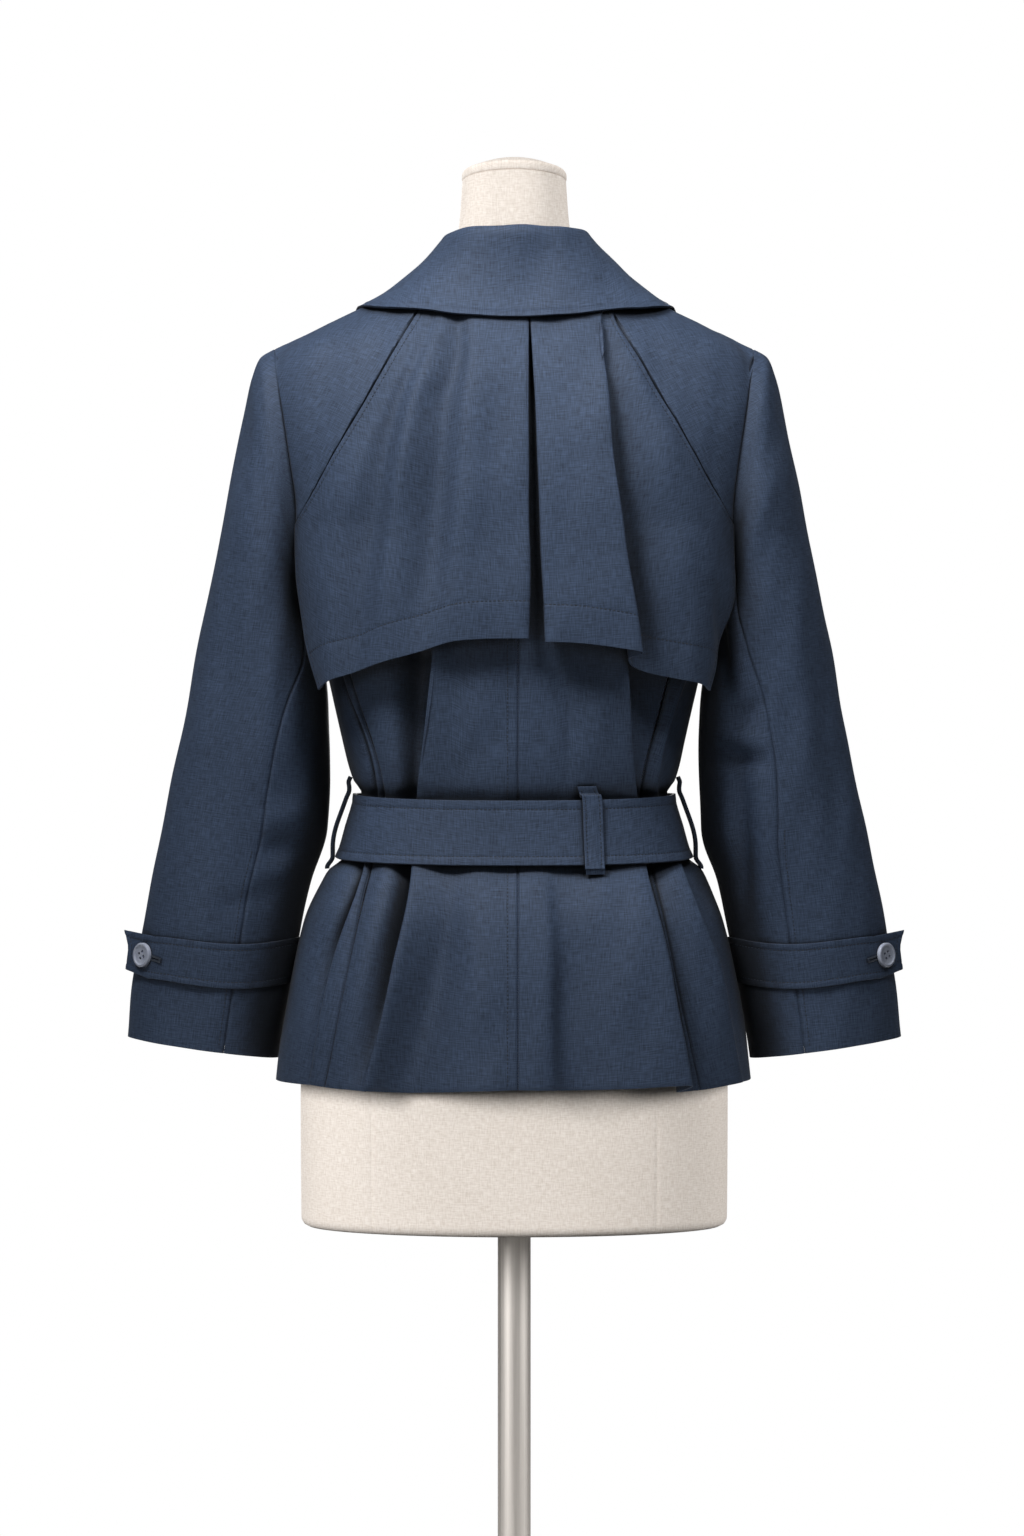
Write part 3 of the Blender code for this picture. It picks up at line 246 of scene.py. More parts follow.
# %% [markdown]
# ## The coat's body as one surface
# All body panels lie on one surface, a stack of level sections between an ellipse and a rectangle. A point
# on it is named by its side, its face, its turn from the centre line (0) to the side seam (1), its height and
# how far it stands out. A sculpted mesh would be quicker to start, but then neighbours' seams would not meet.

# %% Measures of the body
HEM_Z, BELT_LOW_Z, BELT_MID_Z, BELT_TOP_Z = 0.8385, 1.02, 1.045, 1.072
ARMPIT_Z, CHEST_Z, SHOULDER_Z, NECK_Z = 1.235, 1.255, 1.4361, 1.494
ARMPIT_X, SHOULDER_X, ARMHOLE_DEPTH = 0.1667, 0.1968, 0.058
SADDLE_TOP_X, SADDLE_TOP_Z = 0.08, 1.452
SADDLE_LOW_X, SADDLE_LOW_Z = 0.1735, 1.289
CENTRE_SEAM_X, PRINCESS_TOP_Z = -0.003, 1.262
V_NECK_Z, FRONT_OVERLAP = 1.395, 0.03
WAIST_DIP, WAIST_DIP_REACH = 0.006, 0.15
SQUARENESS = 2.3

Width = namedtuple("Width", "z half_width")
WIDTHS = [
    Width(HEM_Z, 0.1942), Width(0.89, 0.1876), Width(0.968, 0.1715), Width(1.0007, 0.1572),
    Width(1.0105, 0.1516), Width(BELT_LOW_Z, 0.14), Width(BELT_MID_Z, 0.1318), Width(BELT_TOP_Z, 0.1252),
    Width(1.083, 0.1318), Width(1.1155, 0.1405), Width(1.1483, 0.1482), Width(1.195, 0.158),
    Width(ARMPIT_Z, ARMPIT_X),
]
Depth = namedtuple("Depth", "z back front")
DEPTHS = [
    Depth(HEM_Z, 0.142, 0.14), Depth(0.9, 0.1345, 0.131), Depth(0.968, 0.1205, 0.119),
    Depth(1.0007, 0.107, 0.109), Depth(BELT_LOW_Z, 0.0925, 0.1), Depth(BELT_MID_Z, 0.088, 0.096),
    Depth(BELT_TOP_Z, 0.086, 0.095), Depth(1.083, 0.0915, 0.099), Depth(1.1155, 0.0985, 0.106),
    Depth(1.16, 0.1035, 0.115), Depth(ARMPIT_Z, 0.1085, 0.126), Depth(1.3, 0.1095, 0.123),
    Depth(1.35, 0.1065, 0.113), Depth(1.4, 0.0975, 0.098), Depth(SHOULDER_Z, 0.084, 0.083),
    Depth(1.456, 0.074, 0.071), Depth(1.475, 0.063, 0.06), Depth(NECK_Z, 0.0525, 0.05),
]
SeamPoint = namedtuple("SeamPoint", "z x")
SHOULDER_SEAM = [
    SeamPoint(SHOULDER_Z, SHOULDER_X), SeamPoint(1.4508, 0.1625), SeamPoint(1.4672, 0.128),
    SeamPoint(1.483, 0.0985), SeamPoint(NECK_Z, 0.0735),
]
PRINCESS_SEAM = [
    SeamPoint(HEM_Z, 0.1525), SeamPoint(0.8926, 0.1407), SeamPoint(0.9958, 0.1215),
    SeamPoint(BELT_LOW_Z, 0.116), SeamPoint(BELT_TOP_Z, 0.1065), SeamPoint(1.142, 0.1255),
    SeamPoint(ARMPIT_Z, 0.158), SeamPoint(PRINCESS_TOP_Z, 0.169),
]
V_NECK = [
    SeamPoint(V_NECK_Z, -FRONT_OVERLAP), SeamPoint(1.41, 0.008), SeamPoint(SHOULDER_Z, 0.033),
    SeamPoint(1.47, 0.056), SeamPoint(NECK_Z, 0.068),
]
print("from hem to shoulder:", round(SHOULDER_Z - HEM_Z, 3), "m")

# %% Points of the body


def blend(first, second, share):
    return first + (second - first) * share


def armhole_x(z):
    return blend(ARMPIT_X, SHOULDER_X, (z - ARMPIT_Z) / (SHOULDER_Z - ARMPIT_Z))


def body_depth(face, z):
    return read(DEPTHS, "back" if face == BACK else "front", z)


def body_half_width(face, z):
    """Half width of a section; between armpit and shoulder, as if the section went on into the arm."""
    z = np.asarray(z, float)
    half = (SHOULDER_Z - ARMPIT_Z) / 2
    rise = np.clip((z - ARMPIT_Z - half) / half, -1.0, 1.0)
    cut = (ARMHOLE_DEPTH * np.sqrt(1 - rise * rise) / body_depth(face, z)) ** SQUARENESS
    middle = armhole_x(z) / (1 - cut) ** (1 / SQUARENESS)
    top = read(SHOULDER_SEAM, "x", z)
    return np.where(z <= ARMPIT_Z, read(WIDTHS, "half_width", z), np.where(z >= SHOULDER_Z, top, middle))


def turn_at(x, half_width):
    """Turn of the point of a section at this x."""
    share = np.minimum(1.0, np.abs(x) / half_width)
    return np.copysign(np.arcsin(share ** (SQUARENESS / 2)) * 2 / np.pi, x)


def body_turn(face, x, z):
    return turn_at(x, body_half_width(face, z))


def section_point(half_width, depth, side, face, turn, z, out):
    """Points of level sections, at turns from the centre line and standing out this far."""
    swing = turn * np.pi / 2
    across, along = np.sin(swing), np.maximum(0.0, np.cos(swing))
    x = np.copysign(half_width * np.abs(across) ** (2 / SQUARENESS), across)
    y = depth * along ** (2 / SQUARENESS)
    lean_x = np.copysign((np.abs(x) / half_width) ** (SQUARENESS - 1) / half_width, x)
    lean_y = (y / depth) ** (SQUARENESS - 1) / depth
    size = np.hypot(lean_x, lean_y)
    dip = WAIST_DIP * np.cos(swing) * ease(1 - np.abs(z - BELT_MID_Z) / WAIST_DIP_REACH)
    drop = dip if face == BACK else 0.0
    parts = side * (x + out * lean_x / size), face * (y + out * lean_y / size), z - drop
    return np.stack(np.broadcast_arrays(*parts), axis=-1)


def body_point(side, face, turn, z, out=0.0):
    return section_point(body_half_width(face, z), body_depth(face, z), side, face, turn, z, out)


def round_point(side, turn, z, out=0.0):
    """Points of the body whose turn goes on past the side seam, to 2 at the centre of the front."""
    behind = body_point(side, BACK, np.minimum(turn, 1.0), z, out)
    ahead = body_point(side, FRONT, np.minimum(2 - turn, 1.0), z, out)
    return np.where((turn <= 1)[..., None], behind, ahead)


print("back at the belt, centre:", np.round(body_point(LEFT, BACK, 0.0, BELT_MID_Z), 4))

# %% Edges of the panels


def side_turn(face, z):
    """Turn of the body's outer edge: the side seam, then the armhole, then the shoulder seam."""
    z = np.asarray(z, float)
    return np.where((z <= ARMPIT_Z) | (z >= SHOULDER_Z), 1.0, body_turn(face, armhole_x(z), z))


def saddle_x(z):
    """The slanting seam from the collar to the armhole."""
    return blend(SADDLE_LOW_X, SADDLE_TOP_X, (z - SADDLE_LOW_Z) / (SADDLE_TOP_Z - SADDLE_LOW_Z))


def back_edge_turn(z):
    """Outer edge of the back: the princess seam, a little of the armhole, then the slanting seam."""
    z = np.asarray(z, float)
    edge = side_turn(BACK, z)
    princess = np.minimum(edge, body_turn(BACK, read(PRINCESS_SEAM, "x", z), z))
    saddle = np.minimum(edge, body_turn(BACK, saddle_x(z), z))
    return np.where(z <= PRINCESS_TOP_Z, princess, np.where(z >= SADDLE_LOW_Z, saddle, edge))


def front_edge_turn(z):
    return body_turn(FRONT, read(V_NECK, "x", z), z)


def moved_turn(face, turn, z, distance):
    """The turn that lies this far from another along its section."""
    step = np.where(turn > 0.5, -0.01, 0.01)
    reach = body_point(LEFT, face, turn + step, z) - body_point(LEFT, face, turn, z)
    return turn + distance * np.abs(step) / np.linalg.norm(reach, axis=-1)


print("turn of the princess seam at the hem:", np.round(back_edge_turn(HEM_Z), 3))

# %% [markdown]
# ## Soft creases
# Cloth that is worn and pressed again keeps soft troughs and ridges. Each is a short line with a width and a
# depth that dies away at its ends. They are placed where the arms bend and where the belt pulls, and no two
# are alike. On top lies a very low, slow swell, because no cloth panel is ever quite even. A cloth
# simulation could make such creases too, but it would not put them where this coat has them.

# %% Crease tables
Crease = namedtuple("Crease", "x0 z0 x1 z1 width depth")
BACK_CREASES = [
    Crease(-0.028, 1.184, -0.05, 1.115, 0.008, -0.0022),
    Crease(-0.06, 1.158, -0.079, 1.092, 0.0075, 0.0018),
    Crease(0.022, 1.12, 0.05, 1.076, 0.007, -0.0012),
    Crease(-0.022, 1.008, -0.03, 0.93, 0.01, 0.0012),
    Crease(0.01, 0.9, 0.03, 0.845, 0.012, -0.0014),
    Crease(0.1575, 1.279, 0.1465, 1.246, 0.0022, -0.0008),
    Crease(0.2245, 1.262, 0.259, 0.985, 0.011, -0.0028),
    Crease(0.1935, 1.2, 0.204, 1.07, 0.008, 0.0024),
    Crease(0.172, 1.058, 0.205, 1.048, 0.011, 0.0024),
    Crease(0.17, 1.03, 0.206, 1.026, 0.01, -0.0034),
    Crease(0.178, 1.01, 0.21, 1.004, 0.009, 0.0018),
    Crease(0.2, 0.99, 0.245, 0.976, 0.008, -0.0018),
    Crease(0.2125, 1.42, 0.211, 1.3, 0.0022, 0.0005),
    Crease(-0.214, 1.345, -0.177, 1.235, 0.011, 0.0034),
    Crease(-0.1735, 1.243, -0.187, 1.148, 0.008, 0.0034),
    Crease(-0.165, 1.235, -0.172, 1.16, 0.006, -0.0044),
    Crease(-0.178, 1.128, -0.202, 1.148, 0.0065, -0.0032),
    Crease(-0.166, 1.117, -0.208, 1.11, 0.006, 0.0036),
    Crease(-0.164, 1.104, -0.2, 1.098, 0.0075, -0.0056),
    Crease(-0.1835, 1.095, -0.188, 0.96, 0.0078, -0.0064),
    Crease(-0.204, 1.09, -0.206, 0.955, 0.0085, 0.0026),
    Crease(-0.226, 1.26, -0.239, 1.08, 0.01, 0.0024),
    Crease(-0.252, 1.18, -0.266, 1.02, 0.01, -0.0024),
    Crease(-0.0455, 1.186, -0.0423, 1.071, 0.0022, -0.0007),
]
FRONT_CREASES = [
    Crease(0.06, 1.2, 0.085, 1.1, 0.009, -0.0024),
    Crease(-0.052, 1.18, -0.076, 1.096, 0.008, -0.0028),
    Crease(0.032, 1.13, 0.046, 1.078, 0.007, 0.0018),
    Crease(-0.1, 1.15, -0.112, 1.085, 0.008, 0.002),
    Crease(0.12, 1.29, 0.09, 1.21, 0.012, -0.0022),
    Crease(-0.122, 1.28, -0.096, 1.215, 0.012, -0.002),
    Crease(0.168, 1.11, 0.206, 1.102, 0.007, -0.0042),
    Crease(0.17, 1.092, 0.202, 1.09, 0.0065, 0.0028),
    Crease(0.172, 1.064, 0.212, 1.052, 0.007, -0.0036),
    Crease(-0.166, 1.096, -0.206, 1.09, 0.007, -0.0044),
    Crease(-0.17, 1.078, -0.208, 1.07, 0.0065, 0.003),
    Crease(-0.17, 1.046, -0.214, 1.036, 0.0075, -0.0034),
    Crease(0.232, 1.23, 0.242, 1.07, 0.0095, -0.0024),
    Crease(-0.23, 1.2, -0.244, 1.05, 0.0095, -0.0026),
]
print("creases placed by hand:", len(BACK_CREASES) + len(FRONT_CREASES))

# %% Creases and swell
CREASE_ENDS, CREASE_TURN = 0.35, 2.2
SWELL_HEIGHT = 0.00022
swell_draw = np.random.default_rng(11)
SWELL_WAVES = swell_draw.normal(size=(9, 3)) * 2 * np.pi / swell_draw.uniform(0.05, 0.13, size=(9, 1))
SWELL_PHASES = swell_draw.uniform(0, 2 * np.pi, size=9)


def crease_relief(points, facing):
    """How far creases and swell lift or sink each point."""
    lift = SWELL_HEIGHT * np.sin(points @ SWELL_WAVES.T + SWELL_PHASES).sum(axis=-1)
    for face, creases in ((BACK, BACK_CREASES), (FRONT, FRONT_CREASES)):
        seen = ease(facing[..., 1] * face * CREASE_TURN)
        for crease in creases:
            start = np.array([crease.x0, crease.z0])
            line = np.array([crease.x1, crease.z1]) - start
            offset = points[..., [0, 2]] - start
            share = np.clip(offset @ line / (line @ line), 0.0, 1.0)
            away = np.linalg.norm(offset - share[..., None] * line, axis=-1)
            ends = CREASE_ENDS + (1 - CREASE_ENDS) * np.sin(np.pi * share)
            lift = lift + seen * crease.depth * ends * np.exp(-(away / crease.width) ** 2)
    return lift


print("waves in the swell:", len(SWELL_WAVES))

# %% [markdown]
# ## Sewing a sheet
# A cloth panel starts as a flat grid, as cloth lies on the cutting table. Its points are moved onto the coat,
# its flat measures become its UV map, and Solidify and Bevel give it its wall and its soft turned edge.
# Beside a seam the cloth dips to meet its neighbour, and beside a lapped edge it rises to it. Along a
# stitched edge the thread pulls a shallow groove, and between groove and edge the turned-in cloth swells a
# little.

# %% Measures of a sheet
CLOTH, BELT_CLOTH = 0.002, 0.003
SEAM_GAP, LAY_GAP = 0.00005, 0.0007
SEAM, UNDER_LAP = "seam", "under a lapped edge"
SEAM_DIP, SEAM_REACH = 0.001, 0.0012
STITCH_DIP, STITCH_REACH, EDGE_SWELL = 0.00025, 0.0009, 0.0002
LAP_RISE, LAP_GAP, LAP_STEP, LAP_FALL = 0.003, 0.0021, 0.001, 0.014
EDGE_ROUNDING = 0.0007
SHARP_FOLD = math.radians(62)
EDGE_LINES = (0.0, 0.0006, 0.0012, 0.002, 0.0032, 0.005, 0.0072)


def facing_of(points, flip):
    """Outward direction at every point of a grid."""
    outward = np.cross(np.gradient(points, axis=1), np.gradient(points, axis=0))
    outward /= np.maximum(np.linalg.norm(outward, axis=-1, keepdims=True), 1e-12)
    return -outward if flip else outward


def run_along(points, axis):
    """Length along the cloth from its first row or column to each point."""
    steps = np.linalg.norm(np.diff(points, axis=axis), axis=-1)
    start = np.zeros_like(np.take(steps, [0], axis=axis))
    return np.concatenate([start, np.cumsum(steps, axis=axis)], axis=axis)


def flat_measures(points, row, column):
    """Where each point lies on the flat cut, counted from the row and the column that are straight on it."""
    across, along = np.diff(points, axis=1), np.diff(points, axis=0)
    steps = np.linalg.norm(across, axis=-1)
    line = np.concatenate([along, along[-1:]])[:, :-1]
    slant = (across * line).sum(-1) / (steps * np.linalg.norm(line, axis=-1) + 1e-12)
    sideways = np.cumsum(steps * np.sqrt(np.clip(1 - slant ** 2, 0, 1)), axis=1)
    u = np.concatenate([np.zeros((len(points), 1)), sideways], axis=1)
    start = np.concatenate([[0.0], np.cumsum((steps * slant)[row])])
    v = run_along(points, 0)
    return np.stack([u - u[:, [column]], v - v[[row]] + start], axis=-1)


def edge_distance(points, edge):
    if edge == "first_column":
        return run_along(points, 1)
    if edge == "last_column":
        return run_along(points[:, ::-1], 1)[:, ::-1]
    if edge == "first_row":
        return run_along(points, 0)
    return run_along(points[::-1], 0)[::-1]


def edge_relief(distance, kind):
    """The dip beside a seam, or the groove and swell of an edge stitched at a distance."""
    if kind == SEAM:
        return -SEAM_DIP * np.exp(-(distance / SEAM_REACH) ** 2)
    if kind == UNDER_LAP:
        beyond = distance - LAP_GAP
        return LAP_RISE * ease(beyond / LAP_STEP) * np.exp(-(np.maximum(beyond, 0) / LAP_FALL) ** 2)
    groove = -STITCH_DIP * np.exp(-((distance - kind) / STITCH_REACH) ** 2)
    swell = np.where(distance < kind, EDGE_SWELL * np.sin(np.pi * np.clip(distance / kind, 0, 1)), 0.0)
    return groove + swell


print("wall of the cloth:", CLOTH * 1000, "mm")

# %% Sheets of cloth
Sheet = namedtuple("Sheet", "piece points facing")


def mesh_of(name, shape):
    """A mesh from a shape that is finished with."""
    mesh = bpy.data.meshes.new(name)
    shape.to_mesh(mesh)
    shape.free()
    return mesh


def grid_mesh(name, points, flip, finish, flat):
    """A mesh from a grid of points, with flat measures as its UV map."""
    rows, columns = points.shape[:2]
    shape = bmesh.new()
    bmesh.ops.create_grid(shape, x_segments=columns - 1, y_segments=rows - 1, size=0.5)
    if flip:
        bmesh.ops.reverse_faces(shape, faces=shape.faces)
    mesh = mesh_of(name, shape)
    mesh.vertices.foreach_set("co", points.astype(np.float32).ravel())
    corners = np.empty(len(mesh.loops), np.int32)
    mesh.loops.foreach_get("vertex_index", corners)
    cut = mesh.uv_layers.new(name="cut")
    cut.data.foreach_set("uv", flat.reshape(-1, 2)[corners].astype(np.float32).ravel())
    mesh.shade_smooth()
    mesh.materials.append(finish)
    mesh.update()
    return mesh


def place_piece(name, mesh, node=None):
    """A finished piece: it rides on the coat's one body and stands for its node."""
    piece = bpy.data.objects.new(name, mesh)
    bpy.context.scene.collection.objects.link(piece)
    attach(piece, "root")
    if node:
        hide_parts(node)
    return piece


def wall(piece, thickness):
    """A wall built inwards from the outer face, with its rims rounded."""
    built = piece.modifiers.new("wall", "SOLIDIFY")
    built.thickness = thickness
    built.offset = -1.0
    built.use_quality_normals = True
    rounded = piece.modifiers.new("rounded rim", "BEVEL")
    rounded.width = EDGE_ROUNDING
    rounded.segments = 2
    rounded.limit_method = "ANGLE"
    rounded.angle_limit = SHARP_FOLD


def sew(name, points, flip, node, edges=(), thickness=CLOTH, creased=True, straight=(0, 0)):
    """One cloth panel. Its edges are pairs of an edge and how it is finished."""
    facing = facing_of(points, flip)
    lift = crease_relief(points, facing) if creased else np.zeros(points.shape[:2])
    for edge, kind in edges:
        lift = lift + edge_relief(edge_distance(points, edge), kind)
    points = points + facing * lift[..., None]
    mesh = grid_mesh(name, points, flip, TWILL, flat_measures(points, *straight))
    piece = place_piece(name, mesh, node)
    wall(piece, thickness)
    width, length = run_along(points, 1)[:, -1].max(), run_along(points, 0)[-1].max()
    rising, falling = points[1:, 1:] - points[:-1, :-1], points[1:, :-1] - points[:-1, 1:]
    area = np.linalg.norm(np.cross(rising, falling), axis=-1).sum() / 2
    area = min(float(area), float(width * length))
    cut_size = f"{width * 1000:.0f} x {length * 1000:.0f} mm"
    print(f"{name}: cut {cut_size}, {area:.4f} m2, {points.size // 3} points")
    return Sheet(piece, points, facing_of(points, flip))


def near_edges(steps, length, edges=EDGE_LINES):
    """Shares from 0 to 1 in even steps, with closer lines beside both ends of this length."""
    even = np.linspace(0, 1, steps + 1)
    close = np.array(edges) / length
    inner = even[(even > close[-1] * 1.3) & (even < 1 - close[-1] * 1.3)]
    return np.concatenate([close, inner, 1 - close[::-1]])


print("lines across a strip of 40 mm:", len(near_edges(8, 0.04)))

# %% [markdown]
# ## Back panels with their folds
# The belt gathers the back, so the cloth stands in box folds above it and opens in a fluted skirt below.
# Every fold line has a place across the back and a height off it at five levels. Where a line is followed by
# one that goes back under it, the cloth rolls over into a real pleat, and its shadow comes by itself. A bump
# map would stay flat at the outline, and a simulated gather would not keep these few deep folds.

# %% Fold tables of the back
FOLD_LEVELS = (HEM_Z, 0.93, 1.0175, 1.074, 1.18)
FOLD_FADE, HEM_REACH = 0.07, 0.09
Fold = namedtuple("Fold", "line x out hem", defaults=(0.0,))
BACK_LEFT_FOLDS = [
    Fold("centre seam", None, (0.0, 0.0, 0.0, 0.0, 0.0), -0.001),
    Fold("flat of the back", (0.034, 0.03, 0.03, 0.032, 0.028), (0.001, 0.0, 0.0, 0.0, 0.0), -0.002),
    Fold("skirt valley", (0.0911, 0.0648, 0.054, 0.054, 0.046),
         (-0.017, -0.015, -0.003, 0.0, 0.0005), -0.0048),
    Fold("box edge", (0.116, 0.094, 0.08, 0.0768, 0.064), (0.003, 0.005, 0.004, 0.003, 0.006), -0.003),
    Fold("under the edge", (0.119, 0.095, 0.0795, 0.074, 0.06),
         (0.002, -0.006, -0.012, -0.006, -0.0095), -0.003),
    Fold("box valley", (0.124, 0.102, 0.0868, 0.085, 0.08),
         (0.0005, -0.013, -0.019, -0.012, -0.0205), -0.0028),
    Fold("far side", (0.137, 0.118, 0.1, 0.0955, 0.106), (0.003, 0.002, 0.0, -0.001, -0.001), -0.002),
    Fold("princess seam", None, (0.001, 0.0, -0.002, -0.001, -0.002), -0.0012),
]
SIDE_LEFT_FOLDS = [
    Fold("princess seam", None, (0.001, 0.0, -0.002, -0.001, -0.002), -0.0012),
    Fold("slit lip", (0.162, 0.146, 0.1205, 0.1105, 0.1425), (0.002, 0.0025, 0.001, 0.0, 0.0)),
    Fold("slit", (0.167, 0.152, 0.1235, 0.1135, 0.146), (0.001, -0.007, -0.013, -0.004, -0.004)),
    Fold("side ridge", (0.18, 0.165, 0.131, 0.119, 0.15), (0.002, 0.001, 0.0, 0.0, -0.001)),
    Fold("side seam", None, (0.0, 0.0, 0.0, 0.0, 0.0)),
]
BACK_RIGHT_FOLDS = [
    Fold("centre seam", None, (0.0, 0.0, 0.0, 0.0, 0.0), -0.001),
    Fold("flat of the back", (0.028, 0.026, 0.024, 0.026, 0.028), (-0.001, 0.0, 0.0, 0.0, 0.0), -0.0014),
    Fold("skirt trough", (0.05, 0.045, 0.04, 0.042, 0.046), (-0.0125, -0.01, -0.002, 0.0, -0.003), -0.002),
    Fold("pleat flat", (0.095, 0.086, 0.077, 0.071, 0.068), (0.001, 0.001, 0.0, 0.0, 0.0), -0.0006),
    Fold("pleat edge", (0.1351, 0.1215, 0.105, 0.0965, 0.0885), (0.012, 0.008, 0.003, 0.003, 0.006), 0.0014),
    Fold("under the edge", (0.132, 0.1185, 0.103, 0.0945, 0.0855),
         (-0.001, -0.0055, -0.008, -0.004, -0.008), -0.0042),
    Fold("pleat valley", (0.142, 0.1285, 0.109, 0.1005, 0.101),
         (-0.007, -0.013, -0.015, -0.008, -0.015), -0.0046),
    Fold("princess seam", None, (-0.005, -0.0085, -0.0105, -0.0065, -0.0105), -0.004),
]
SIDE_RIGHT_FOLDS = [
    Fold("princess seam", None, (-0.005, -0.0085, -0.0105, -0.0065, -0.0105), -0.004),
    Fold("side ridge", (0.179, 0.162, 0.133, 0.1155, 0.144), (0.003, 0.0035, 0.001, 0.0, 0.0)),
    Fold("side trough", (0.187, 0.172, 0.1385, 0.1205, 0.1495), (-0.001, -0.003, -0.005, -0.003, -0.003)),
    Fold("side seam", None, (0.0, 0.0, 0.0, 0.0, 0.0)),
]
print("fold lines on the back:", len(BACK_LEFT_FOLDS) + len(BACK_RIGHT_FOLDS))

# %% Rows and columns of a panel
ROW_STEP, COVERED_STEPS, BACK_COVERED_Z = 0.0042, 3, 1.21
BEND_LOW_Z, BEND_RISE, BEND_SIDES, BEND_PASSES = 1.385, 0.03, 0.22, 24
FOLD_STEPS = 10
FIRST_GAP = (0.0, 0.025, 0.045, 0.065, 0.09, 0.14, 0.2, 0.3, 0.42, 0.56, 0.7, 0.85)


def body_rows(low, high, corners=(), fine_to=NECK_Z):
    """Heights of a panel's rows on the coat's common ladder, wider where the panel is covered."""
    ladder = np.arange(HEM_Z, NECK_Z, ROW_STEP)
    wide = (np.arange(len(ladder)) % COVERED_STEPS == 0) | (ladder < fine_to)
    inside = ladder[wide & (ladder > low + ROW_STEP / 3) & (ladder < high - ROW_STEP / 3)]
    return np.unique(np.round(np.concatenate([inside, [low, high], list(corners)]), 5))


def round_shoulder(points, z):
    """Rounds the bend between back and shoulder, which a pressing ham gives the cloth, but not its seams."""
    share = np.linspace(0, 1, points.shape[1])
    weight = ease((z - BEND_LOW_Z) / BEND_RISE)[:, None] * ease(np.minimum(share, 1 - share) / BEND_SIDES)
    weight[[0, -1]] = 0.0
    for _ in range(BEND_PASSES):
        middle = (points[:-2] + points[2:]) / 2
        points[1:-1] += 0.5 * weight[1:-1, :, None] * (middle - points[1:-1])
    return points


def fold_places(lines):
    """Places of a panel's columns, counted in fold lines, closer beside its two seams."""
    gap = np.array(FIRST_GAP)
    middle = [k + np.arange(FOLD_STEPS) / FOLD_STEPS for k in range(1, lines - 2)]
    return np.concatenate([gap, *middle, (lines - 1) - gap[::-1]])


def panel_points(side, face, folds, z, inner, outer, lap=False):
    """Points of a body panel between two edges, whose turns inner and outer give at a height."""
    low = moved_turn(face, inner(z), z, SEAM_GAP / 2)
    high = moved_turn(face, outer(z), z, -SEAM_GAP / 2)
    fade = ease((z - FOLD_LEVELS[-1]) / FOLD_FADE)
    turns, outs = [], []
    for i, fold in enumerate(folds):
        even = blend(low, high, i / (len(folds) - 1))
        if fold.x is None:
            turns.append(low if i == 0 else high)
        else:
            drawn = body_turn(face, smooth(FOLD_LEVELS, fold.x, z), z)
            turns.append(blend(drawn, even, fade))
        outs.append(smooth(FOLD_LEVELS, fold.out, z) * (1 - fade))
    places = fold_places(len(folds))
    turn = through_lines(np.stack(turns, axis=-1), places)
    out = through_lines(np.stack(outs, axis=-1), places)
    drop = through_lines(np.array([fold.hem for fold in folds]), places)
    height = z[:, None] + drop[None, :] * ease(1 - (z - HEM_Z) / HEM_REACH)[:, None]
    if lap:
        share = (turn - low[:, None]) / (high - low)[:, None]
        out = out + lap_lift(share, height)
    return round_shoulder(body_point(side, face, turn, height, out), z)


print("columns of a panel with eight fold lines:", len(fold_places(8)))

# %% Panels of the body


def centre_edge(side):
    return lambda z: body_turn(BACK, side * CENTRE_SEAM_X + 0 * z, z)


back_rows = body_rows(HEM_Z, NECK_Z, (CHEST_Z, PRINCESS_TOP_Z, SADDLE_LOW_Z, SHOULDER_Z), BACK_COVERED_Z)
side_rows = body_rows(HEM_Z, CHEST_Z, (ARMPIT_Z,))
SHEETS = {}
for side, word, back_folds, side_folds in (
        (LEFT, "left", BACK_LEFT_FOLDS, SIDE_LEFT_FOLDS),
        (RIGHT, "right", BACK_RIGHT_FOLDS, SIDE_RIGHT_FOLDS)):
    points = panel_points(side, BACK, back_folds, back_rows, centre_edge(side), back_edge_turn)
    SHEETS[f"back_{word}"] = sew(
        f"cloth_back_{word}", points, side > 0, f"back_{word}",
        (("first_column", SEAM), ("last_column", SEAM)))
    points = panel_points(
        side, BACK, side_folds, side_rows, back_edge_turn, lambda z: side_turn(BACK, z))
    SHEETS[f"side_{word}"] = sew(
        f"cloth_side_back_{word}", points, side > 0, f"side_back_{word}",
        (("first_column", SEAM), ("last_column", SEAM)))

# %% [markdown]
# ## Shoulders and fronts
# The shoulder pieces run from the slanting seam of the back to the armhole, as on a saddle shoulder. The two
# fronts carry the buttons, the right one lying on the left. The photograph does not show them, so they are
# finished plainly, with folds like those of the back but of other lengths and depths.

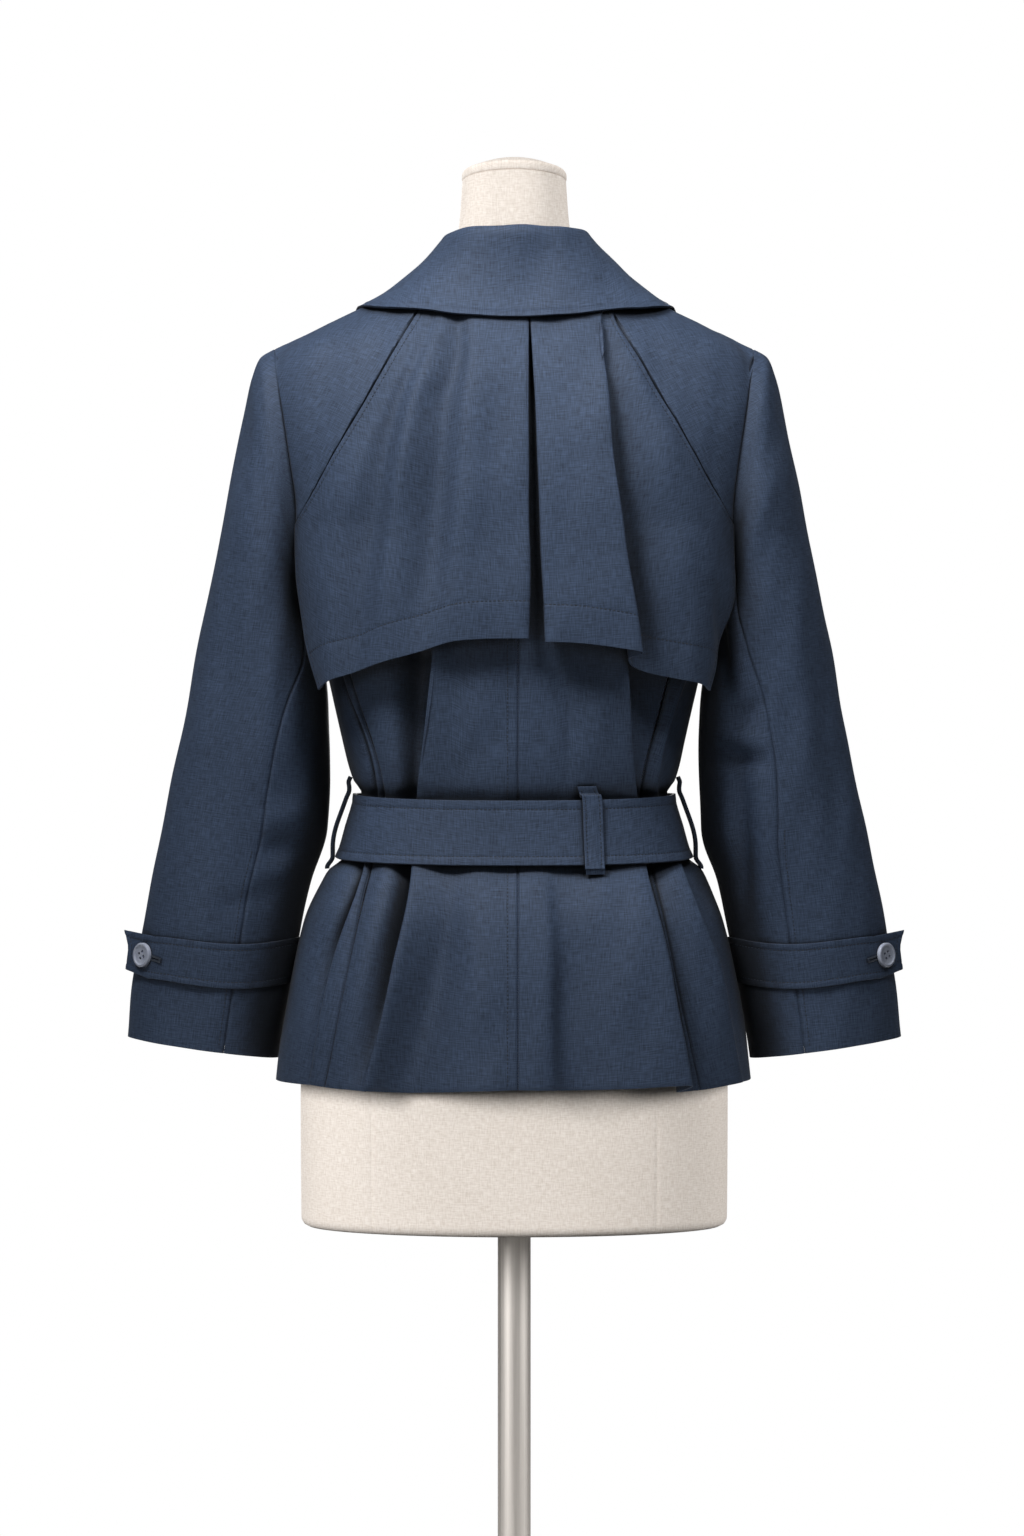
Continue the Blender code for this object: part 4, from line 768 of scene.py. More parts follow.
# %% Fold tables of shoulders and fronts
LAP_ENDS, LAP_FADE_FROM, LAP_FADE = 0.5, 0.015, 0.03
FRONT_LIFT = CLOTH + 0.0012
SADDLE_FOLDS = [
    Fold("slanting seam", None, (0.0,) * 5),
    Fold("first third", (0.15,) * 5, (0.0,) * 5),
    Fold("second third", (0.16,) * 5, (0.0,) * 5),
    Fold("armhole", None, (0.0,) * 5),
]
FRONT_LEFT_FOLDS = [
    Fold("front edge", None, (0.0,) * 5),
    Fold("flat of the front", (0.03, 0.028, 0.026, 0.026, 0.03), (0.001, 0.0, 0.0, 0.0, 0.0)),
    Fold("front ridge", (0.086, 0.078, 0.066, 0.062, 0.07), (0.005, 0.004, 0.001, 0.0, 0.0)),
    Fold("front trough", (0.11, 0.099, 0.084, 0.078, 0.088), (-0.008, -0.007, -0.008, -0.006, -0.006)),
    Fold("waist ridge", (0.146, 0.132, 0.108, 0.097, 0.116), (0.003, 0.003, 0.001, 0.0, 0.0)),
    Fold("side trough", (0.176, 0.16, 0.127, 0.113, 0.14), (-0.003, -0.004, -0.006, -0.004, -0.003)),
    Fold("side seam", None, (0.0,) * 5),
]
FRONT_RIGHT_FOLDS = [
    Fold("front edge", None, (0.0,) * 5),
    Fold("flat of the front", (0.032, 0.03, 0.028, 0.027, 0.032), (0.0, 0.0, 0.0, 0.0, 0.0)),
    Fold("front ridge", (0.08, 0.073, 0.062, 0.058, 0.066), (0.006, 0.004, 0.001, 0.0, 0.0)),
    Fold("front trough", (0.102, 0.092, 0.078, 0.072, 0.082), (-0.009, -0.006, -0.007, -0.005, -0.005)),
    Fold("waist ridge", (0.138, 0.124, 0.103, 0.093, 0.112), (0.004, 0.003, 0.001, 0.0, 0.0)),
    Fold("side trough", (0.172, 0.156, 0.126, 0.112, 0.138), (-0.004, -0.004, -0.005, -0.004, -0.003)),
    Fold("side seam", None, (0.0,) * 5),
]


print("fold lines on the fronts:", len(FRONT_LEFT_FOLDS) + len(FRONT_RIGHT_FOLDS))

# %% Shoulder and front panels


def lap_lift(share, z):
    """The right front rises over the left one where they lap, below the neck opening."""
    across = ease((LAP_ENDS - share) / LAP_ENDS * 2)
    return FRONT_LIFT * across * ease((V_NECK_Z + LAP_FADE_FROM + LAP_FADE - z) / LAP_FADE)


saddle_rows = body_rows(SADDLE_LOW_Z, NECK_Z, (SHOULDER_Z,))
front_rows = body_rows(HEM_Z, NECK_Z, (ARMPIT_Z, V_NECK_Z, SHOULDER_Z))
FRONT_STITCH = 0.0065
for side, word, front_folds in ((LEFT, "left", FRONT_LEFT_FOLDS), (RIGHT, "right", FRONT_RIGHT_FOLDS)):
    points = panel_points(
        side, BACK, SADDLE_FOLDS, saddle_rows, back_edge_turn, lambda z: side_turn(BACK, z))
    SHEETS[f"shoulder_{word}"] = sew(
        f"cloth_shoulder_{word}", points, side > 0, f"shoulder_{word}",
        (("first_column", UNDER_LAP), ("last_column", SEAM)))
    points = panel_points(
        side, FRONT, front_folds, front_rows, front_edge_turn, lambda z: side_turn(FRONT, z), side == RIGHT)
    SHEETS[f"front_{word}"] = sew(
        f"cloth_front_{word}", points, side < 0, f"front_{word}",
        (("first_column", FRONT_STITCH), ("last_column", SEAM)))

# %% [markdown]
# ## Cape over the back
# The split cape is the coat's storm flap: two halves sewn into the slanting seams, free at the hem and open
# down the middle, where the dark back shows. Its left half falls in two soft waves. Its right half has one
# pleat whose edge stands clear of the cloth beside it, and below it the line goes back under itself.

# %% Cape tables
CAPE_TOP_Z, CAPE_LOW_Z = 1.468, 1.156
CAPE_LIFT = CLOTH + 0.0013
CAPE_LAP = 0.0015
CAPE_LEVELS = (0.0, 0.15, 0.3, 0.47, 0.73, 1.0)
CAPE_WIDTHS = [
    Width(1.1568, 0.172), Width(1.2, 0.18), Width(1.25, 0.1885), Width(SADDLE_LOW_Z, 0.1902),
]
CAPE_SIDE = [
    SeamPoint(1.1568, 0.1523), SeamPoint(1.203, 0.1655), SeamPoint(1.25, 0.174),
    SeamPoint(SADDLE_LOW_Z, SADDLE_LOW_X + CAPE_LAP),
]
CapeFold = namedtuple("CapeFold", "line x out hem_z")
CAPE_LEFT_FOLDS = [
    CapeFold("vent return", (-0.003, -0.004, -0.005, -0.005, -0.005, -0.005),
             (0.0, 0.0, 0.0, 0.0, 0.0005, 0.001), 1.195),
    CapeFold("vent edge", (-0.0108,) * 6, (0.003, 0.0044, 0.0056, 0.007, 0.0095, 0.012), 1.1954),
    CapeFold("flat by the vent", (0.012, 0.014, 0.015, 0.016, 0.018, 0.02),
             (0.0038, 0.0054, 0.007, 0.0082, 0.0105, 0.013), 1.1953),
    CapeFold("long ridge", (0.032, 0.033, 0.037, 0.04, 0.044, 0.048),
             (0.0046, 0.007, 0.0098, 0.0112, 0.0122, 0.0132), 1.193),
    CapeFold("long trough", (0.044, 0.0462, 0.056, 0.0604, 0.0662, 0.072),
             (0.001, 0.0, -0.0004, 0.0, 0.004, 0.0096), 1.1855),
    CapeFold("second ridge", (0.054, 0.065, 0.079, 0.087, 0.095, 0.099),
             (0.0018, 0.0052, 0.0102, 0.0128, 0.0126, 0.0128), 1.1778),
    CapeFold("second trough", (0.06, 0.077, 0.094, 0.105, 0.116, 0.123),
             (0.001, 0.0014, 0.0016, 0.0012, 0.0026, 0.0062), 1.1698),
    CapeFold("side ridge", (0.065, 0.085, 0.1075, 0.127, 0.145, 0.14),
             (0.0008, 0.0012, 0.003, 0.0062, 0.009, 0.0106), 1.1635),
    CapeFold("side edge", None, (0.0, 0.0, 0.0, 0.0, 0.001, 0.005), 1.1562),
]
CAPE_RIGHT_FOLDS = [
    CapeFold("vent return", (0.017, 0.0185, 0.0205, 0.0225, 0.0255, 0.029),
             (0.0, 0.0, 0.0, 0.0, 0.0005, 0.001), 1.1925),
    CapeFold("vent edge", (0.0136, 0.0153, 0.0172, 0.0192, 0.0222, 0.025),
             (0.003, 0.0046, 0.006, 0.008, 0.0112, 0.014), 1.1927),
    CapeFold("flat by the vent", (0.037, 0.039, 0.041, 0.044, 0.049, 0.054),
             (0.0041, 0.006, 0.0086, 0.0112, 0.0144, 0.0172), 1.1914),
    CapeFold("pleat edge", (0.0642, 0.0682, 0.0716, 0.0757, 0.0842, 0.0938),
             (0.0044, 0.0082, 0.0134, 0.0176, 0.0218, 0.024), 1.1848),
    CapeFold("under the pleat", (0.0676, 0.0706, 0.0714, 0.0738, 0.0806, 0.0892),
             (0.0028, 0.0042, 0.0058, 0.0076, 0.01, 0.012), 1.1802),
    CapeFold("pleat valley", (0.0712, 0.076, 0.0786, 0.083, 0.0915, 0.101),
             (0.0014, 0.0008, 0.0, -0.0004, 0.0, 0.0014), 1.1706),
    CapeFold("side ridge", (0.074, 0.0905, 0.107, 0.123, 0.14, 0.138),
             (0.001, 0.0026, 0.0062, 0.0108, 0.014, 0.0135), 1.1612),
    CapeFold("side edge", None, (0.0, 0.0, 0.0, 0.0, 0.001, 0.0055), 1.1556),
]
print("cape halves hang to", CAPE_LEFT_FOLDS[0].hem_z, "m at the vent")

# %% Cape halves
CAPE_ROWS, CAPE_STEPS, CAPE_LENGTH = 84, 12, 0.29
CAPE_HEM_STITCH, CAPE_EDGE_STITCH = 0.03, 0.0046
BESIDE_HEM_STITCH = np.array([-0.002, -0.001, 0.0, 0.001, 0.002])


def cape_points(side, folds, v, places):
    """Points of a cape half, v running from under the collar (0) to the hem (1)."""
    side_z = blend(CAPE_TOP_Z, CAPE_LOW_Z, v)
    slant = saddle_x(side_z) + CAPE_LAP
    side_x = np.where(side_z >= SADDLE_LOW_Z, slant, read(CAPE_SIDE, "x", side_z))
    lines = [side_x if fold.x is None else smooth(CAPE_LEVELS, fold.x, v) for fold in folds]
    x = through_lines(np.stack(lines, axis=-1), places)
    outs = through_lines(np.stack([smooth(CAPE_LEVELS, fold.out, v) for fold in folds], axis=-1), places)
    hems = through_lines(np.array([fold.hem_z for fold in folds]), places)
    z = blend(CAPE_TOP_Z, hems[None, :], v[:, None])
    half = np.where(z >= SADDLE_LOW_Z, body_half_width(BACK, z), read(CAPE_WIDTHS, "half_width", z))
    return section_point(half, body_depth(BACK, z), side, BACK, turn_at(x, half), z, CAPE_LIFT + outs)


for side, word, folds in ((LEFT, "left", CAPE_LEFT_FOLDS), (RIGHT, "right", CAPE_RIGHT_FOLDS)):
    hem_lines = 1 - (CAPE_HEM_STITCH + BESIDE_HEM_STITCH) / CAPE_LENGTH
    v = np.unique(np.round(np.concatenate([near_edges(CAPE_ROWS, CAPE_LENGTH), hem_lines]), 6))
    gap = np.array(FIRST_GAP)
    middle = [k + np.arange(CAPE_STEPS) / CAPE_STEPS for k in range(len(folds) - 2)]
    places = np.concatenate([*middle, (len(folds) - 1) - gap[::-1]])
    points = cape_points(side, folds, v, places)
    SHEETS[f"cape_{word}"] = sew(
        f"cloth_cape_{word}", points, side < 0, f"cape_{word}",
        (("last_column", CAPE_EDGE_STITCH), ("last_row", CAPE_HEM_STITCH)))

# %% [markdown]
# ## Two-piece sleeves
# A tailored sleeve has an upper and an under piece, and its two seams let it bend forwards as an arm hangs.
# The sleeve is a row of rings from the armhole to the cuff, each given by its outer and its inner line as
# seen from behind. Lofting between drawn rings would do as well, but the table keeps both sleeves alike.

# %% Measures of the sleeves
Ring = namedtuple("Ring", "at x_out z_out x_in z_in half_depth y")
SLEEVE_RINGS = [
    Ring(0, SHOULDER_X, SHOULDER_Z, ARMPIT_X, ARMPIT_Z, ARMHOLE_DEPTH, 0.0),
    Ring(1, 0.2079, 1.4287, 0.1692, 1.233, 0.06, 0.0),
    Ring(2, 0.2145, 1.412, 0.1708, 1.229, 0.061, 0.0),
    Ring(3, 0.2212, 1.382, 0.1716, 1.2225, 0.0615, -0.001),
    Ring(4, 0.2325, 1.329, 0.1692, 1.211, 0.0615, -0.002),
    Ring(5, 0.2472, 1.255, 0.162, 1.194, 0.0605, -0.004),
    Ring(6, 0.2604, 1.189, 0.1554, 1.17, 0.059, -0.007),
    Ring(7, 0.2702, 1.135, 0.152, 1.14, 0.0575, -0.01),
    Ring(8, 0.2823, 1.08, 0.1515, 1.085, 0.0565, -0.014),
    Ring(9, 0.2916, 1.035, 0.154, 1.043, 0.056, -0.018),
    Ring(10, 0.3001, 0.9945, 0.1675, 1.0, 0.0555, -0.022),
    Ring(11, 0.3075, 0.956, 0.1768, 0.9545, 0.0545, -0.026),
    Ring(12, 0.315, 0.912, 0.1854, 0.906, 0.054, -0.03),
    Ring(13, 0.32, 0.8712, 0.1947, 0.8535, 0.0545, -0.033),
]
FRONT_SLEEVE_SEAM = -118.0
SeamAngle = namedtuple("SeamAngle", "at left right")
BACK_SLEEVE_SEAM = [
    SeamAngle(0, 150, 134), SeamAngle(4.0, 147, 128), SeamAngle(5.6, 137, 112), SeamAngle(6.9, 116, 97),
    SeamAngle(7.8, 107, 93), SeamAngle(8.6, 105, 95), SeamAngle(10.3, 107, 105), SeamAngle(13, 109, 109),
]
print("rings along a sleeve:", len(SLEEVE_RINGS))

# %% Sleeves
SLEEVE_ROWS, SLEEVE_LENGTH, HEAD_TUCK = 108, 0.52, 0.0012
UPPER_COLUMNS, UNDER_COLUMNS = 84, 50


def sleeve_point(side, at, angle, out=0.0):
    """Points of a sleeve: angle 0 is its outer line, 90 its back, 180 its inner line."""
    ring = Ring(at, *(read(SLEEVE_RINGS, column, at) for column in Ring._fields[1:]))
    half_x, half_z = (ring.x_out - ring.x_in) / 2, (ring.z_out - ring.z_in) / 2
    radius = np.hypot(half_x, half_z)
    swing = np.radians(angle)
    lean_across, lean_back = np.cos(swing) / radius, np.sin(swing) / ring.half_depth
    size = np.hypot(lean_across, lean_back)
    share = np.cos(swing) + out * lean_across / size / radius
    x = (ring.x_out + ring.x_in) / 2 + half_x * share
    z = (ring.z_out + ring.z_in) / 2 + half_z * share
    y = ring.y + ring.half_depth * np.sin(swing) + out * lean_back / size
    return np.stack(np.broadcast_arrays(side * x, y, z), axis=-1)


def tuck_head(side, points):
    """The sleeve's first row goes in under the armhole's edge, as its seam allowance does."""
    across = np.array([SHOULDER_Z - ARMPIT_Z, 0.0, ARMPIT_X - SHOULDER_X])
    points[0] -= across / np.linalg.norm(across) * HEAD_TUCK * np.array([side, 1.0, 1.0])
    return points


sleeve_ats = near_edges(SLEEVE_ROWS, SLEEVE_LENGTH) * (len(SLEEVE_RINGS) - 1)
SEAM_ANGLE = math.degrees(SEAM_GAP / 2 / ARMHOLE_DEPTH)
for side, word in ((LEFT, "left"), (RIGHT, "right")):
    back_seam = read(BACK_SLEEVE_SEAM, word, sleeve_ats)[:, None]
    front_seam = FRONT_SLEEVE_SEAM + 0 * back_seam
    for kind, start, end, steps in (
            ("upper_sleeve", front_seam, back_seam, UPPER_COLUMNS),
            ("under_sleeve", back_seam, front_seam + 360, UNDER_COLUMNS)):
        shares = near_edges(steps, math.radians((end - start).mean()) * ARMHOLE_DEPTH)
        angles = blend(start + SEAM_ANGLE, end - SEAM_ANGLE, shares[None, :])
        points = tuck_head(side, sleeve_point(side, sleeve_ats[:, None], angles))
        SHEETS[f"{kind}_{word}"] = sew(
            f"cloth_{kind}_{word}", points, side > 0, f"{kind}_{word}",
            (("first_column", SEAM), ("last_column", SEAM), ("first_row", SEAM)),
            straight=(-1, len(shares) // 2))

# %% [markdown]
# ## Cuff straps
# A strap is sewn into the under-sleeve, lies round the back of the cuff and runs straight on past the outer
# side, where it ends in a hollow cut. It is two layers turned and topstitched, so its edge is full and soft.

# %% Straps
STRAP_LEVELS = (0.0, 0.5, 1.0)
STRAP_RINGS, STRAP_FREE, STRAP_RISE = (11.02, 11.42, 11.8), (0.0385, 0.029, 0.0278), (0.004, 0.005, 0.006)
STRAP_LIFT = CLOTH + LAY_GAP
STRAP_START, STRAP_LEAVES = 172.0, 40.0
STRAP_STITCH, STRAP_WIDTH, STRAP_FREE_LENGTH, STRAP_DIP = 0.0055, 0.035, 0.031, 0.11
BESIDE_STRAP_STITCH = (0.125, 0.15, 0.175, 0.825, 0.85, 0.875)


def strap_points(side, level, place):
    """Points of a strap: level runs down it (0 to 1), place along it (0 to 1 on the sleeve, 1 to 2 free)."""
    ring = smooth(STRAP_LEVELS, STRAP_RINGS, level)
    angle = blend(STRAP_START, STRAP_LEAVES, np.clip(place, 0, 1))
    dip = STRAP_DIP * np.sin(math.pi * np.clip(place, 0, 1)) ** 2
    lying = sleeve_point(side, ring + dip, angle, STRAP_LIFT)
    here = sleeve_point(side, ring, STRAP_LEAVES + 0 * place, STRAP_LIFT)
    onward = sleeve_point(side, ring, STRAP_LEAVES - 1 + 0 * place, STRAP_LIFT) - here
    onward /= np.linalg.norm(onward, axis=-1, keepdims=True)
    free = smooth(STRAP_LEVELS, STRAP_FREE, level) * np.clip(place - 1, 0, 1)
    rise = smooth(STRAP_LEVELS, STRAP_RISE, level) * np.clip(place - 1, 0, 1)
    straight = here + onward * free[..., None] + np.array([0, 0, 1.0]) * rise[..., None]
    return np.where((place <= 1)[..., None], lying, straight)


level = np.concatenate([near_edges(8, STRAP_WIDTH), BESIDE_STRAP_STITCH])
level = np.unique(np.round(level, 5))
place = np.concatenate([np.linspace(0, 1, 72), 1 + near_edges(16, STRAP_FREE_LENGTH)[1:]])
grid_level, grid_place = np.meshgrid(level, place, indexing="ij")
for side, word in ((LEFT, "left"), (RIGHT, "right")):
    SHEETS[f"strap_{word}"] = sew(
        f"cloth_cuff_strap_{word}", strap_points(side, grid_level, grid_place), side < 0,
        f"cuff_strap_{word}",
        (("first_row", STRAP_STITCH), ("last_row", STRAP_STITCH), ("last_column", STRAP_STITCH)),
        creased=False, straight=(0, len(place) // 2))

# %% [markdown]
# ## Collar
# The collar stands up round the neck, rolls over and falls on the shoulders. Each cut across it runs from the
# neck seam up the stand, over the roll and down the fall, which sags a little before it meets its edge.

# %% Measures of the collar
Stand = namedtuple("Stand", "at x_fold y_fold z_fold x_edge y_edge z_edge sag")
COLLAR = [
    Stand(0.0, 0.0, 0.066, 1.5277, 0.0, 0.086, 1.4546, 0.004),
    Stand(0.15, 0.0092, 0.0655, 1.5278, 0.0147, 0.0858, 1.4548, 0.004),
    Stand(0.5, 0.03, 0.06, 1.5282, 0.048, 0.0835, 1.457, 0.004),
    Stand(0.8, 0.045, 0.048, 1.5284, 0.078, 0.0722, 1.4615, 0.004),
    Stand(1.1, 0.055, 0.028, 1.528, 0.1035, 0.0586, 1.464, 0.0048),
    Stand(1.4, 0.0594, 0.006, 1.5255, 0.1222, 0.0342, 1.4668, 0.006),
    Stand(1.7, 0.0604, -0.014, 1.5205, 0.1288, -0.002, 1.4692, 0.0062),
    Stand(2.0, 0.0585, -0.036, 1.508, 0.134, -0.042, 1.4588, 0.005),
    Stand(2.4, 0.049, -0.0648, 1.478, 0.127, -0.0832, 1.423, 0.0036),
    Stand(2.8, 0.036, -0.0865, 1.448, 0.109, -0.1018, 1.38, 0.0036),
    Stand(3.0, 0.028, -0.0955, 1.433, 0.093, -0.1125, 1.35, 0.0036),
]
COLLAR_FALL, COLLAR_STAND_SHARE = (0.0, 0.3, 0.65, 1.0), 0.55
COLLAR_SHOULDER, COLLAR_OPENING, COLLAR_END, COLLAR_END_Z = 1.65, 1.8, 3.0, 1.42
COLLAR_SHIFT_X, COLLAR_ROLL, COLLAR_SEAT = -0.003, 0.004, 0.0009
COLLAR_LEFT_DROP, COLLAR_DROP_AT, COLLAR_DROP_REACH = 0.002, 1.1, 0.6
COLLAR_LEFT_FULL, COLLAR_RIGHT_FULL, COLLAR_FULL_AT, COLLAR_FULL_REACH = 0.0018, 0.004, 1.4, 0.9
COLLAR_STITCH, COLLAR_HALF_LENGTH, COLLAR_WIDTH = 0.0065, 0.36, 0.078
BESIDE_COLLAR_STITCH = np.array([-0.0015, -0.0008, 0.0, 0.0008, 0.0015])
print("collar, measures on each side:", len(COLLAR))

# %% Collar


def collar_seam(side, at):
    """The neck seam: along the neckline at the back, then down the edge of the front opening."""
    lift = np.array([0, 0, COLLAR_SEAT])
    behind = body_point(side, BACK, np.minimum(at / COLLAR_SHOULDER, 1.0), NECK_Z + 0 * at) + lift
    share = np.clip((at - COLLAR_SHOULDER) / (COLLAR_OPENING - COLLAR_SHOULDER), 0, 1)
    over = body_point(side, FRONT, blend(1, front_edge_turn(NECK_Z), share), NECK_Z + 0 * at) + lift
    share = np.clip((at - COLLAR_OPENING) / (COLLAR_END - COLLAR_OPENING), 0, 1)
    z = blend(NECK_Z, COLLAR_END_Z, share)
    lap = lap_lift(0, z) if side == RIGHT else 0.0
    ahead = body_point(side, FRONT, front_edge_turn(z), z, COLLAR_SEAT + lap) + lift * (1 - share)[:, None]
    first = (at <= COLLAR_SHOULDER)[:, None]
    return np.where(first, behind, np.where((at <= COLLAR_OPENING)[:, None], over, ahead))


def unit(vectors):
    return vectors / np.linalg.norm(vectors, axis=-1, keepdims=True)


def collar_cuts(side, at):
    """Cuts across the collar, each from the neck seam over the fold to the outer edge."""
    stand = Stand(at, *(read(COLLAR, column, at) for column in Stand._fields[1:]))
    shift = COLLAR_SHIFT_X * (1 - at / COLLAR_END)
    seam = collar_seam(side, at)
    lower = COLLAR_LEFT_DROP * ease(1 - np.abs(at - COLLAR_DROP_AT) / COLLAR_DROP_REACH)
    full = COLLAR_RIGHT_FULL if side == RIGHT else COLLAR_LEFT_FULL
    fuller = full * ease(1 - np.abs(at - COLLAR_FULL_AT) / COLLAR_FULL_REACH)
    z_fold = stand.z_fold - (lower if side == LEFT else 0.0)
    sag = stand.sag - fuller
    fold = np.stack([side * stand.x_fold + shift, stand.y_fold, z_fold], axis=-1)
    edge = np.stack([side * stand.x_edge + shift, stand.y_edge, stand.z_edge], axis=-1)
    away = unit((edge - fold) * np.array([1, 1, 0]))
    drop = np.array([0, 0, COLLAR_ROLL])
    inner, outer = fold - away * COLLAR_ROLL - drop, fold + away * COLLAR_ROLL - drop
    hollow = unit(np.cross(edge - outer, np.cross(away, np.array([0, 0, 1.0]))))
    hollow *= np.where(hollow[:, 2:] > 0, -1, 1) * sag[:, None]
    fall = [blend(outer, edge, t) + hollow * 4 * t * (1 - t) for t in COLLAR_FALL]
    return np.stack([seam, blend(seam, inner, COLLAR_STAND_SHARE), inner, fold, *fall], axis=-1)


along = near_edges(68, COLLAR_HALF_LENGTH)
at = np.concatenate([-(along[1:] * COLLAR_END)[::-1], along * COLLAR_END])
cuts = np.concatenate([collar_cuts(RIGHT, -at[at < 0]), collar_cuts(LEFT, at[at >= 0])])
places = np.concatenate([np.arange(0, 2, 0.25), np.arange(2, 4, 0.125), 4 + 3 * near_edges(18, COLLAR_WIDTH)])
near_stitch = 7 - 3 * (COLLAR_STITCH + BESIDE_COLLAR_STITCH) / COLLAR_WIDTH
places = np.unique(np.round(np.concatenate([places, near_stitch]), 6))
points = np.moveaxis(through_lines(cuts, places), 1, -1)
SHEETS["collar"] = sew(
    "cloth_collar", points, False, "collar",
    (("last_column", COLLAR_STITCH), ("first_row", COLLAR_STITCH), ("last_row", COLLAR_STITCH)),
    straight=(len(at) // 2, 0))

# %% [markdown]
# ## Belt and loops
# The belt is a turned and topstitched band, thicker than the coat's cloth. It is shown fastened, its end
# lying on it beside a plain frame buckle. Narrow loops hold it: one on the back and one on each side seam,
# where the belt leaves them standing off so that light shows between.

# %% Belt
BELT_LIFT = FRONT_LIFT + BELT_CLOTH + 0.0008
BELT_STITCH, BELT_COLUMNS = 0.0074, 320
BESIDE_BELT_STITCH = np.array([-0.0016, -0.0008, 0.0, 0.0008, 0.0016])
BELT_HEIGHT = BELT_TOP_Z - BELT_LOW_Z
BELT_END_FROM, BELT_END_TO, BELT_END_POINT, BELT_END_INSET = 1.74, 1.3, 0.05, 0.001
BELT_END_LENGTH = 0.09


def belt_points(z, turn, out):
    """Points along the belt. A turn below 0 is on the right side."""
    left, right = round_point(LEFT, np.abs(turn), z, out), round_point(RIGHT, np.abs(turn), z, out)
    return np.where((turn >= 0)[..., None], left, right)


belt_share = near_edges(8, BELT_HEIGHT)
near_stitch = (BELT_STITCH + BESIDE_BELT_STITCH) / BELT_HEIGHT
belt_share = np.unique(np.round(np.concatenate([belt_share, near_stitch, 1 - near_stitch]), 5))
grid_z, grid_turn = np.meshgrid(
    blend(BELT_LOW_Z, BELT_TOP_Z, belt_share), np.linspace(-2.0, 2.0, BELT_COLUMNS + 1), indexing="ij")
belt_edges = (("first_row", BELT_STITCH), ("last_row", BELT_STITCH))
SHEETS["belt"] = sew(
    "cloth_belt", belt_points(grid_z, grid_turn, BELT_LIFT), True, "belt",
    belt_edges, BELT_CLOTH, creased=False,
    straight=(0, BELT_COLUMNS // 2))

end_share, end_along = np.meshgrid(belt_share, near_edges(40, BELT_END_LENGTH), indexing="ij")
end_z = blend(BELT_LOW_Z + BELT_END_INSET, BELT_TOP_Z - BELT_END_INSET, end_share)
end_point = BELT_END_TO - BELT_END_POINT * (1 - np.abs(2 * end_share - 1))
SHEETS["belt_end"] = sew(
    "cloth_belt_end",
    belt_points(end_z, blend(BELT_END_FROM, end_point, end_along), BELT_LIFT + CLOTH + LAY_GAP), False,
    "belt_end", belt_edges + (("last_column", BELT_STITCH),), creased=False)

# %% Belt loops
LOOP_WIDTH, LOOP_STITCH = 0.015, 0.0025
LOOP_EDGE_LINES = (0.0, 0.0008, 0.0016, 0.0025, 0.0034)
LoopRow = namedtuple("LoopRow", "z out")
BACK_LOOP = [
    LoopRow(1.0825, 0.0026), LoopRow(1.077, 0.005), LoopRow(1.0725, BELT_LIFT + 0.0026),
    LoopRow(1.045, BELT_LIFT + 0.0028), LoopRow(1.02, BELT_LIFT + 0.0026),
    LoopRow(1.0158, 0.007), LoopRow(1.012, 0.003),
]
BACK_LOOP_TOP_X, BACK_LOOP_LOW_X = 0.0575, 0.0646
SIDE_LOOP = [
    LoopRow(1.086, 0.0026), LoopRow(1.0795, 0.0075), LoopRow(1.068, 0.0138), LoopRow(1.049, 0.0156),
    LoopRow(1.032, 0.0148), LoopRow(1.0175, 0.009), LoopRow(1.01, 0.0028),
]
loop_across = (near_edges(4, LOOP_WIDTH, LOOP_EDGE_LINES) - 0.5) * LOOP_WIDTH
loop_places = np.linspace(0, len(BACK_LOOP) - 1, 55)
loop_edges = (("first_column", LOOP_STITCH), ("last_column", LOOP_STITCH))


def loop_line(rows):
    """Heights and stand-outs along a loop, as columns for a grid."""
    z = through_lines(np.array([row.z for row in rows]), loop_places)
    return z[:, None], through_lines(np.array([row.out for row in rows]), loop_places)[:, None]


z, out = loop_line(BACK_LOOP)
x = blend(BACK_LOOP_TOP_X, BACK_LOOP_LOW_X, loop_places / (len(BACK_LOOP) - 1))[:, None] + loop_across
z, out = np.broadcast_to(z, x.shape), np.broadcast_to(out, x.shape)
SHEETS["belt_loop_back"] = sew(
    "cloth_belt_loop_back", body_point(RIGHT, BACK, body_turn(BACK, x, z), z, out), True, "belt_loop_back",
    loop_edges, BELT_CLOTH, creased=False)
for side, word in ((LEFT, "left"), (RIGHT, "right")):
    z, out = loop_line(SIDE_LOOP)
    middle = round_point(side, np.ones_like(z), z, out)
    shift = np.zeros((1, len(loop_across), 3))
    shift[0, :, 1] = -loop_across
    SHEETS[f"belt_loop_{word}"] = sew(
        f"cloth_belt_loop_{word}", middle + shift, side < 0, f"belt_loop_{word}",
        loop_edges, BELT_CLOTH, creased=False)

# %% [markdown]
# ## Buckle
# The buckle is a plain frame, a round bar bent to a rectangle with soft corners that follows the belt's
# curve. A curve with a round bevel is the bar, and it is made a mesh before it is placed.

# %% Buckle
BUCKLE_BAR, BUCKLE_GAP, BUCKLE_HALF_WIDTH, BUCKLE_OVERHANG = 0.0024, 0.0012, 0.026, 0.0065
BUCKLE_CORNER = 0.005


